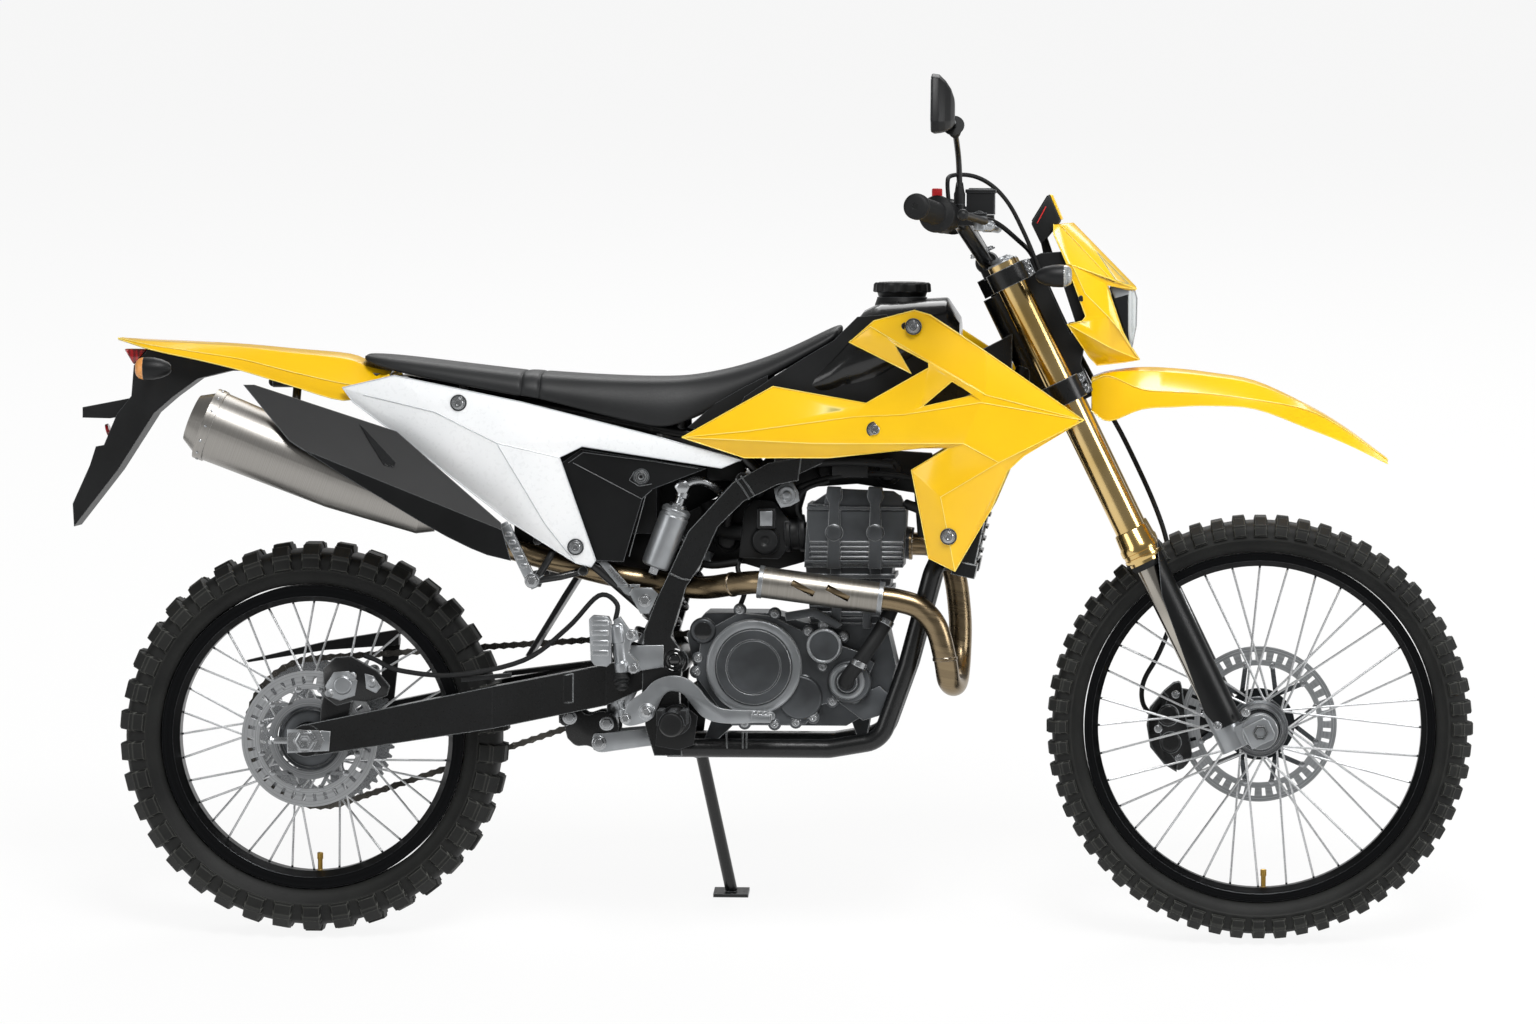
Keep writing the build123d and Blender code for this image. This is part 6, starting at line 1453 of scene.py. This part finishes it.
class MOTO_OT_suspension(bpy.types.Operator):
    """Shock with its wound spring and reservoir, rounded linkage plates and arm fittings"""
    bl_idname, bl_label = "moto.suspension", "Rear suspension"

    def execute(self, context):
        bottom, top = Vector((478, 0, 342)), Vector((648, 0, 676))
        way = (top - bottom).normalized()
        bm = bmesh.new()
        one, two = across(way)
        turns, steps = 7, 28
        coil = [bottom + (top - bottom) * (0.29 + 0.5 * i / (turns * steps)) +
            (one * cos(2 * pi * i / steps) + two * sin(2 * pi * i / steps)) * 27 for i in range(turns * steps + 1)]
        add_pipe(bm, coil, 5.2, 10)
        finished(bm, "shock_spring", "painted gloss black", "shock_absorber")
        bm = bmesh.new()
        long = (top - bottom).length
        add_turned(bm, bottom, way, [(long * 0.03, 9), (long * 0.08, 19), (long * 0.24, 19), (long * 0.24, 32),
            (long * 0.29, 32), (long * 0.29, 18), (long * 0.8, 18), (long * 0.8, 32), (long * 0.86, 32),
            (long * 0.86, 19), (long * 0.94, 19), (long * 0.97, 9)], sides=40)
        for (x, z), half in (((478, 342), 17), ((648, 676), 18)):
            add_ring(bm, (x, -half, z), LEFT, [(0, 8.5), (0, 15), (2 * half, 15), (2 * half, 8.5)], 32)
        foot, head = Vector((560, -92, 598)), Vector((596, -92, 694))
        up = (head - foot).normalized()
        tall = (head - foot).length
        add_turned(bm, foot, up, [(0, 20), (3, 23), (8, 24), (tall - 16, 24), (tall - 14, 22.6), (tall - 11, 22.6),
            (tall - 9, 24), (tall - 4, 23.4), (tall, 19)], sides=48)
        finished(bm, "shock_body", CAST, "shock_absorber")
        bm = bmesh.new()
        add_turned(bm, head, up, [(0, 15), (5, 14), (6, 8), (16, 8), (18, 11), (26, 11), (28, 8), (32, 7)], sides=28)
        add_turned(bm, (604, -96, 727), RIGHT, [(-16, 12), (6, 12), (8, 8)], sides=6)
        add_pipe(bm, smooth_path([(606, -92, 728), (622, -90, 736), (640, -82, 734), (664, -64, 716),
            (660, -40, 690)], 6), 7)
        add_turned(bm, foot - up * 14, up, [(0, 5), (3, 8), (14, 8)], sides=6)
        add_pipe(bm, [(584, -92, 660), (598, -54, 641), (612, -14, 622)], 8)
        finished(bm, "reservoir_fittings", PLATED, "shock_absorber")
        bm = bmesh.new()
        rocker = smooth_path([(x, 0, z) for x, z in ((404, 358), (410, 372), (428, 374), (444, 356), (470, 362),
            (492, 352), (497, 330), (486, 304), (478, 296), (462, 300), (446, 306), (428, 306), (414, 318))], 4)
        outline = [(p.x, p.z) for p in rocker]
        for side in (-1, 1):
            add_prism(bm, outline, side * 31, side * 36.6)
        for x, z in ((410, 346), (478, 342), (466, 309)):
            add_turned(bm, (x, -38, z), LEFT, [(0, 8), (76, 8)], sides=24)
        finished(bm, "linkage_rocker", COATED, "shock_linkage", edge=1.6)
        bm = bmesh.new()
        for side in (-1, 1):
            bar = [(p.x, p.z) for p in smooth_path([(x, 0, z) for x, z in ((454, 312), (458, 326), (472, 327),
                (520, 332), (580, 336), (597, 333), (603, 320), (598, 306), (560, 308), (500, 300), (470, 296),
                (457, 300))], 4)]
            add_prism(bm, bar, side * 37, side * 43)
        finished(bm, "linkage_rods", CAST, "shock_linkage", edge=1.6)
        bm = bmesh.new()
        for side in (-1, 1):
            add_bolts(bm, [(x, side * 43, z) for x, z in ((466, 311), (590, 321))], (0, side, 0), 9, 7)
            add_bolts(bm, [(x, side * 37, z) for x, z in ((418, 352), (478, 342))], (0, side, 0), 9, 6)
            add_box(bm, (-52, side * 116.2 - 2, 312), (-26, side * 116.2 + 2, 322))
            add_turned(bm, (-52, side * 104, 317), (-1, 0, 0), [(-30, 4), (4, 4), (4, 8), (10, 8)], sides=6)
            add_turned(bm, (0, side * 123, 317), (0, side, 0), [(0, 20), (2, 20), (2.4, 17), (8, 17), (9, 14), (9, 9),
                (5, 8)], sides=6 if side < 0 else 32)
        finished(bm, "suspension_bolts", PLATED, edge=0.5)
        bm = bmesh.new()
        for side in (-1, 1):
            add_prism(bm, [(-30, 297), (38, 301), (40, 333), (-30, 336)], side * 116.2, side * 119.4)
        finished(bm, "axle_adjusters", CAST, edge=1)
        bm = bmesh.new()
        add_prism(bm, [(300, 410), (560, 446), (592, 470), (560, 452), (300, 418)], 56, 90)
        add_prism(bm, [(250, 412), (330, 421), (330, 428), (250, 420)], -108, -96)
        finished(bm, "arm_slider", NYLON, edge=1)
        return {"FINISHED"}


class MOTO_OT_rear_brake(bpy.types.Operator):
    """Rear caliper and its master cylinder, reservoir, boot and hose"""
    bl_idname, bl_label = "moto.rear_brake", "Rear brake"

    def execute(self, context):
        bm = bmesh.new()
        shape = [(24, 432), (44, 450), (70, 452), (92, 440), (112, 428), (132, 404), (128, 388), (96, 378), (74, 380),
            (46, 372), (26, 386)]
        add_prism(bm, shape, -87, -79.4)
        add_prism(bm, [(30, 432), (52, 444), (96, 430), (122, 396), (92, 384), (48, 378), (32, 392)], -64.6, -57)
        for x, z in ((44, 440), (104, 428)):
            add_turned(bm, (x, -84, z), LEFT, [(0, 9), (24, 9)], sides=24)
        add_prism(bm, [(18, 332), (40, 334), (66, 350), (72, 384), (50, 396), (27, 404), (20, 370)], -86.4, -80.5)
        finished(bm, "rear_caliper", COATED, "rear_brake", edge=2)
        bm = bmesh.new()
        add_prism(bm, [(28, 404), (42, 426), (66, 428), (80, 412), (76, 388), (52, 380), (34, 386)], -91, -86.8)
        add_turned(bm, (56, -91, 405), RIGHT, [(0, 15), (2, 14.4), (3, 12), (3, 3)], sides=36)
        add_prism(bm, [(92, 424), (106, 420), (118, 402), (110, 392), (94, 400)], -90, -86.8)
        add_bolts(bm, [(34, -91, 392), (72, -91, 420), (104, -90, 408)], RIGHT, 5, 4)
        finished(bm, "rear_caliper_piston_caps", CAST, "rear_brake", edge=0.8)
        bm = bmesh.new()
        add_prism(bm, [(457, 516), (463, 522), (488, 520), (492, 512), (493, 446), (486, 440), (466, 442),
            (460, 450)], -130, -106)
        for z in (458, 474, 490, 506):
            add_box(bm, (462, -131.4, z), (488, -129, z + 8))
        add_prism(bm, [(496, 514), (506, 520), (520, 500), (534, 497), (536, 484), (524, 478), (520, 462), (536, 446),
            (538, 432), (524, 428), (512, 438), (500, 440), (496, 460)], -120, -108)
        add_turned(bm, (499, -114, 508), (0.14, 0, -0.99), [(0, 9), (4, 12), (30, 12), (32, 10), (60, 10), (64, 12),
            (78, 12), (80, 9)], sides=28)
        add_prism(bm, [(490, 472), (575, 474), (575, 438), (520, 430), (500, 432)], -108, -103.4)
        add_turned(bm, (508, -126, 386), (0.2, 0, -0.98), [(0, 7), (5, 7), (5, 5), (14, 5), (14, 9), (24, 9),
            (26, 7)], sides=12)
        finished(bm, "rear_master_cylinder", CAST, "rear_brake", edge=1.2)
        bm = bmesh.new()
        add_turned(bm, (507, -114, 428), (0.12, -0.3, -0.95), [(0, 11), (6, 11), (8, 13), (11, 13), (13, 10),
            (16, 12), (19, 9), (24, 10), (27, 6)], sides=24)
        add_pipe(bm, smooth_path([(498, -114, 512), (500, -110, 540), (470, -100, 552), (420, -104, 500),
            (350, -106, 448), (240, -110, 424), (150, -100, 430), (108, -82, 446), (90, -76, 452)], 6), 4)
        finished(bm, "rear_brake_hose", RUBBER, "rear_brake")
        bm = bmesh.new()
        add_bolts(bm, [(524, -120, 490), (528, -120, 437)], RIGHT, 6, 5)
        finished(bm, "master_cylinder_bolts", PLATED)
        return {"FINISHED"}


PEDAL = [(515, 369), (523, 385), (545, 401), (562, 418), (588, 427), (612, 424), (634, 408), (650, 388), (672, 375),
    (716, 373), (752, 370), (752, 357), (716, 352), (668, 352), (640, 362), (620, 384), (608, 398), (590, 402),
    (577, 394), (566, 372), (556, 356), (530, 347), (516, 348), (508, 357)]


class MOTO_OT_foot_controls(bpy.types.Operator):
    """Brake pedal, shift lever, rider and passenger pegs with their brackets"""
    bl_idname, bl_label = "moto.foot_controls", "Foot controls"

    def execute(self, context):
        bm = bmesh.new()
        line = [(p.x, p.z) for p in smooth_path([(x, 0, z) for x, z in PEDAL], 4)]
        add_prism(bm, line, -141, -133)
        add_turned(bm, (551, -103, 369), RIGHT, [(0, 9), (30, 9), (30, 14), (42, 13), (43, 10)], sides=32)
        add_box(bm, (718, -158, 354), (750, -130, 366))
        for x in (720, 728, 736, 744):
            add_box(bm, (x, -158, 366), (x + 3, -130, 371))
        finished(bm, "brake_pedal", CAST, "foot_levers", edge=2)
        bm = bmesh.new()
        add_prism(bm, [(660, 352), (664, 368), (680, 374), (740, 366), (790, 380), (796, 372), (742, 354),
            (680, 350)], 118, 125)
        add_turned(bm, (672, 56, 360), LEFT, [(0, 8), (72, 8), (73, 6)], sides=28)
        add_turned(bm, (788, 118, 374), LEFT, [(0, 6), (6, 6), (8, 9), (38, 9), (40, 7)], sides=24, lobes=8,
            depth=1.5)
        finished(bm, "shift_lever", CAST, "foot_levers", edge=1.5)
        bm = bmesh.new()
        for side in (-1, 1):
            add_prism(bm, [(562, 312), (600, 306), (624, 314), (630, 360), (606, 380), (568, 376)], side * 103.4,
                side * 110)
            add_turned(bm, (595, side * 108, 354), (0, side, 0), [(0, 24), (10, 24), (14, 17), (30, 15), (38, 20),
                (100, 20), (106, 17)], sides=32)
            for y in (146, 160, 174, 188, 202):
                for x in (576, 595, 614):
                    add_box(bm, (x - 5, side * y - 2.5, 352), (x + 5, side * y + 2.5, 376))
        finished(bm, "rider_pegs", NYLON, "foot_pegs", edge=1)
        bm = bmesh.new()
        for side in (-1, 1):
            bar = [Vector((322, side * 128, 664)), Vector((366, side * 128, 574))]
            way = (bar[1] - bar[0]).normalized()
            wide = Vector((-way.z, 0, way.x))
            for along, half, low, high in ((0, 8.5, 118, 132), (-6, 6, 120, 130)):
                start = bar[0] + way * along
                end = bar[1] + way * (2 if along == 0 else 10)
                add_loft(bm, [[Vector((p.x, side * y, p.z)) for p, y in ((q - wide * half, low),
                    (q + wide * half, low), (q + wide * half, high), (q - wide * half, high))] for q in (start, end)])
            for k in range(5):
                at = bar[0] + way * (14 + 14 * k)
                add_box(bm, (at.x - 5, side * 132.5 - 1.5, at.z - 3), (at.x + 5, side * 132.5 + 1.5, at.z + 3))
            add_turned(bm, (366, side * 112, 577), (0, side, 0), [(0, 12), (22, 12), (24, 9)], sides=28)
        finished(bm, "passenger_pegs", CAST, "foot_pegs", edge=1.2)
        bm = bmesh.new()
        for side in (-1, 1):
            add_pipe(bm, [(372, side * 112, 580), (388, side * 110, 606), (398, side * 104, 624)], 6)
            add_pipe(bm, [(372, side * 112, 577), (410, side * 110, 583), (446, side * 100, 592)], 6)
            add_turned(bm, (446, side * 98, 592), (0, side, 0), [(0, 8), (12, 8)], sides=18)
            add_turned(bm, (372, side * 90, 640), (0, side, 0), [(0, 7), (20, 7)], sides=18)
            add_prism(bm, [(356, 566), (378, 566), (384, 584), (376, 594), (358, 590)], side * 107.5, side * 113)
        finished(bm, "passenger_peg_brackets", COATED, "foot_pegs", edge=1)
        bm = bmesh.new()
        for side in (-1, 1):
            add_prism(bm, [(520, 556), (527, 566), (556, 566), (566, 556), (552, 524), (538, 524)], side * 104,
                side * 110)
            add_prism(bm, [(470, 606), (480, 612), (528, 560), (520, 552), (512, 556)], side * 100, side * 106)
        finished(bm, "frame_brackets", CAST, edge=1)
        bm = bmesh.new()
        for side in (-1, 1):
            add_bolts(bm, [(545, side * 110, 545), (366, side * 136, 577)], (0, side, 0), 8, 6)
            add_prism(bm, [(486, 594), (491, 598), (514, 572), (509, 568)], side * 106, side * 106.8)
        add_bolts(bm, [(551, -146, 369), (517, -141, 358)], RIGHT, 6.5, 5)
        finished(bm, "foot_control_bolts", PLATED)
        return {"FINISHED"}


# ---------------------------------------------------------------- fasteners and chain
CASE_SCREWS = [(696, 530), (752, 524), (626, 430), (629, 452), (806, 496), (862, 488), (831, 506), (829, 440),
    (800, 418), (704, 348), (752, 347), (786, 350), (814, 358), (893, 436), (880, 390), (845, 384)]


class MOTO_OT_fasteners(bpy.types.Operator):
    """Set the panel, clamp, cover and guard screws and the silencer band's rivets"""
    bl_idname, bl_label = "moto.fasteners", "Fasteners"

    def execute(self, context):
        sizes = context.scene.moto_sizes
        panels, dark = [], []
        for side in (-1, 1):
            out = (0, side, 0)
            for x, z, inset in ((975.4, 985.3, 6), (914.5, 821.6, 0), (1032.7, 653.2, 3)):
                panels.append(((x, side * (shroud_reach(x, z) - inset), z), out))
            for x, z in ((246.2, 860.6), (434.7, 631)):
                panels.append(((x, side * (between(x, PANEL_PLAN) - 1), z), out))
            dark.append(((538.9, side * 112, 743.3), out))
        repeated("panel_screws", screw_head(), panels, sizes.screw, PLATED)
        bm = bmesh.new()
        for spot, out in panels + dark:
            add_ring(bm, spot, out, [(-1, 10.6), (0.9, 11), (0.9, 13), (-1, 13.4)], 40)
        finished(bm, "panel_grommets", SATIN)
        repeated("cover_panel_screws", screw_head(), dark, sizes.screw, COATED)
        clamps = []
        for side in (-1, 1):
            for u in (819, 833, 613, 631):
                clamps.append((fork(-13, side * 100, u), (0, side, 0)))
            for ahead in (-82, -56):
                clamps.append((fork(ahead, side * 52, 880), fork(0, 0, 1) - fork(0, 0, 0)))
            clamps += [(fork(ahead, side * 129, 39), (0, side, 0)) for ahead in (-57, -7)]
        repeated("clamp_screws", screw_head(), clamps, sizes.clamp_screw, PLATED, body="steering")
        repeated("case_screws", screw_head(), [((x, -89, z), RIGHT) for x, z in CASE_SCREWS], sizes.case_screw,
            PLATED)
        one, two = across(SILENCER_WAY)
        rivets = []
        for i in range(14):
            a = 2 * pi * i / 14
            out = one * cos(a) + two * sin(a)
            rivets.append((SILENCER_AT + out * 59, out))
        repeated("band_rivets", rivet_head(), rivets, sizes.rivet, PLATED)
        return {"FINISHED"}


def rivet_head():
    bm = bmesh.new()
    add_turned(bm, (0, 0, -0.4), UP, [(0, 1), (0.5, 1), (0.85, 0.75), (1, 0.2)], sides=12)
    return bm


PITCH, LINKS, CHAIN_Y, REAR_TEETH, DRIVE_TEETH, DRIVE_ANGLE = 15.875, 116, 70, 48, 14, radians(11.5)


def chain_pins():
    """Each pin's place with its outward and forward directions, round both sprockets."""
    rear_r, drive_r = (PITCH / 2 / sin(pi / teeth) for teeth in (REAR_TEETH, DRIVE_TEETH))
    slope = 0
    for _ in range(20):
        wrapped = rear_r * (pi + 2 * slope) + drive_r * (pi - 2 * slope)
        centres = (LINKS * PITCH - wrapped) / 2 / cos(slope)
        slope = atan2((rear_r - drive_r) / centres, (1 - ((rear_r - drive_r) / centres) ** 2) ** 0.5)
    upper, lower, run = slope - DRIVE_ANGLE, pi - slope - DRIVE_ANGLE, centres * cos(slope)
    rear_top, drive_arc = rear_r * (upper + pi / 2), drive_r * (lower - upper)
    drive = (centres * cos(DRIVE_ANGLE), REAR_R + centres * sin(DRIVE_ANGLE))
    pins = []
    for i in range(LINKS):
        s = i * PITCH
        if s < rear_top:
            angle, x, z, r = s / rear_r - pi / 2, 0, REAR_R, rear_r
        elif s < rear_top + run:
            angle, r = upper, rear_r
            x, z = (s - rear_top) * cos(upper), REAR_R - (s - rear_top) * sin(upper)
        elif s < rear_top + run + drive_arc:
            angle, x, z, r = upper + (s - rear_top - run) / drive_r, *drive, drive_r
        elif s < rear_top + 2 * run + drive_arc:
            back = s - rear_top - run - drive_arc
            angle, r, x, z = lower, drive_r, drive[0] + back * cos(lower), drive[1] - back * sin(lower)
        else:
            angle, x, z, r = lower + (s - rear_top - 2 * run - drive_arc) / rear_r, 0, REAR_R, rear_r
        pins.append(Vector((x + r * sin(angle), CHAIN_Y, z + r * cos(angle))))
    return pins


def chain_link():
    """Two waisted side plates with a roller between them at one end, one pitch long, a unit to the metre's mm."""
    bm = bmesh.new()
    plate = [(-12.2, 0), (-11, 4.2), (-8, 5.6), (-4.5, 4.6), (0, 3.6), (4.5, 4.6), (8, 5.6), (11, 4.2), (12.2, 0),
        (11, -4.2), (8, -5.6), (4.5, -4.6), (0, -3.6), (-4.5, -4.6), (-8, -5.6), (-11, -4.2)]
    for low, high in ((-7.4, -5.6), (5.6, 7.4)):
        add_prism(bm, plate, low, high)
    add_turned(bm, (-PITCH / 2, -8, 0), LEFT, [(0, 2.4), (2, 2.6), (2.2, 4.9), (13.8, 4.9), (14, 2.6), (16, 2.4)],
        sides=10)
    return bm


class MOTO_OT_chain(bpy.types.Operator):
    """Link the drive chain round its two sprockets"""
    bl_idname, bl_label = "moto.chain", "Drive chain"

    def execute(self, context):
        pins = chain_pins()
        spots = []
        for i, (a, b) in enumerate(zip(pins, pins[1:] + pins[:1])):
            way = (b - a).normalized()
            out = way.cross(Vector(LEFT)) * -1
            spots.append(((a + b) / 2, out, way, (1, 1 if i % 2 else 0.8, 1)))
        repeated("drive_chain", chain_link(), spots, MM, "oiled chain steel", "chain")
        return {"FINISHED"}


# ---------------------------------------------------------------- panel and running
class MOTO_PT_panel(bpy.types.Panel):
    """Lists the motorcycle's sizes, colours and pieces"""
    bl_idname, bl_label = "MOTO_PT_panel", "Dual sport motorcycle"
    bl_space_type, bl_region_type, bl_category = "VIEW_3D", "UI", "Motorcycle"

    def draw(self, context):
        for group in (context.scene.moto_colours, context.scene.moto_sizes):
            for name in group.__annotations__:
                self.layout.prop(group, name)
        for step in STEPS:
            self.layout.operator(step.bl_idname)


STEPS = (MOTO_OT_finishes, MOTO_OT_stage, MOTO_OT_cords, MOTO_OT_shrouds, MOTO_OT_side_panels, MOTO_OT_fenders,
    MOTO_OT_cowl, MOTO_OT_seat, MOTO_OT_bars, MOTO_OT_mirror, MOTO_OT_instrument, MOTO_OT_signals, MOTO_OT_trim,
    MOTO_OT_tyres, MOTO_OT_discs, MOTO_OT_tank, MOTO_OT_engine_dress, MOTO_OT_suspension, MOTO_OT_rear_brake,
    MOTO_OT_foot_controls, MOTO_OT_fasteners, MOTO_OT_chain)
CLASSES = (MotorcycleColours, MotorcycleSizes, *STEPS, MOTO_PT_panel)


def register():
    for item in CLASSES:
        bpy.utils.register_class(item)
    bpy.types.Scene.moto_colours = bpy.props.PointerProperty(type=MotorcycleColours)
    bpy.types.Scene.moto_sizes = bpy.props.PointerProperty(type=MotorcycleSizes)


def unregister():
    del bpy.types.Scene.moto_colours, bpy.types.Scene.moto_sizes
    for item in reversed(CLASSES):
        bpy.utils.unregister_class(item)


def main():
    register()
    for step in STEPS:
        group, name = step.bl_idname.split(".")
        getattr(getattr(bpy.ops, group), name)()
    bpy.context.view_layer.update()


if __name__ == "__main__":
    main()
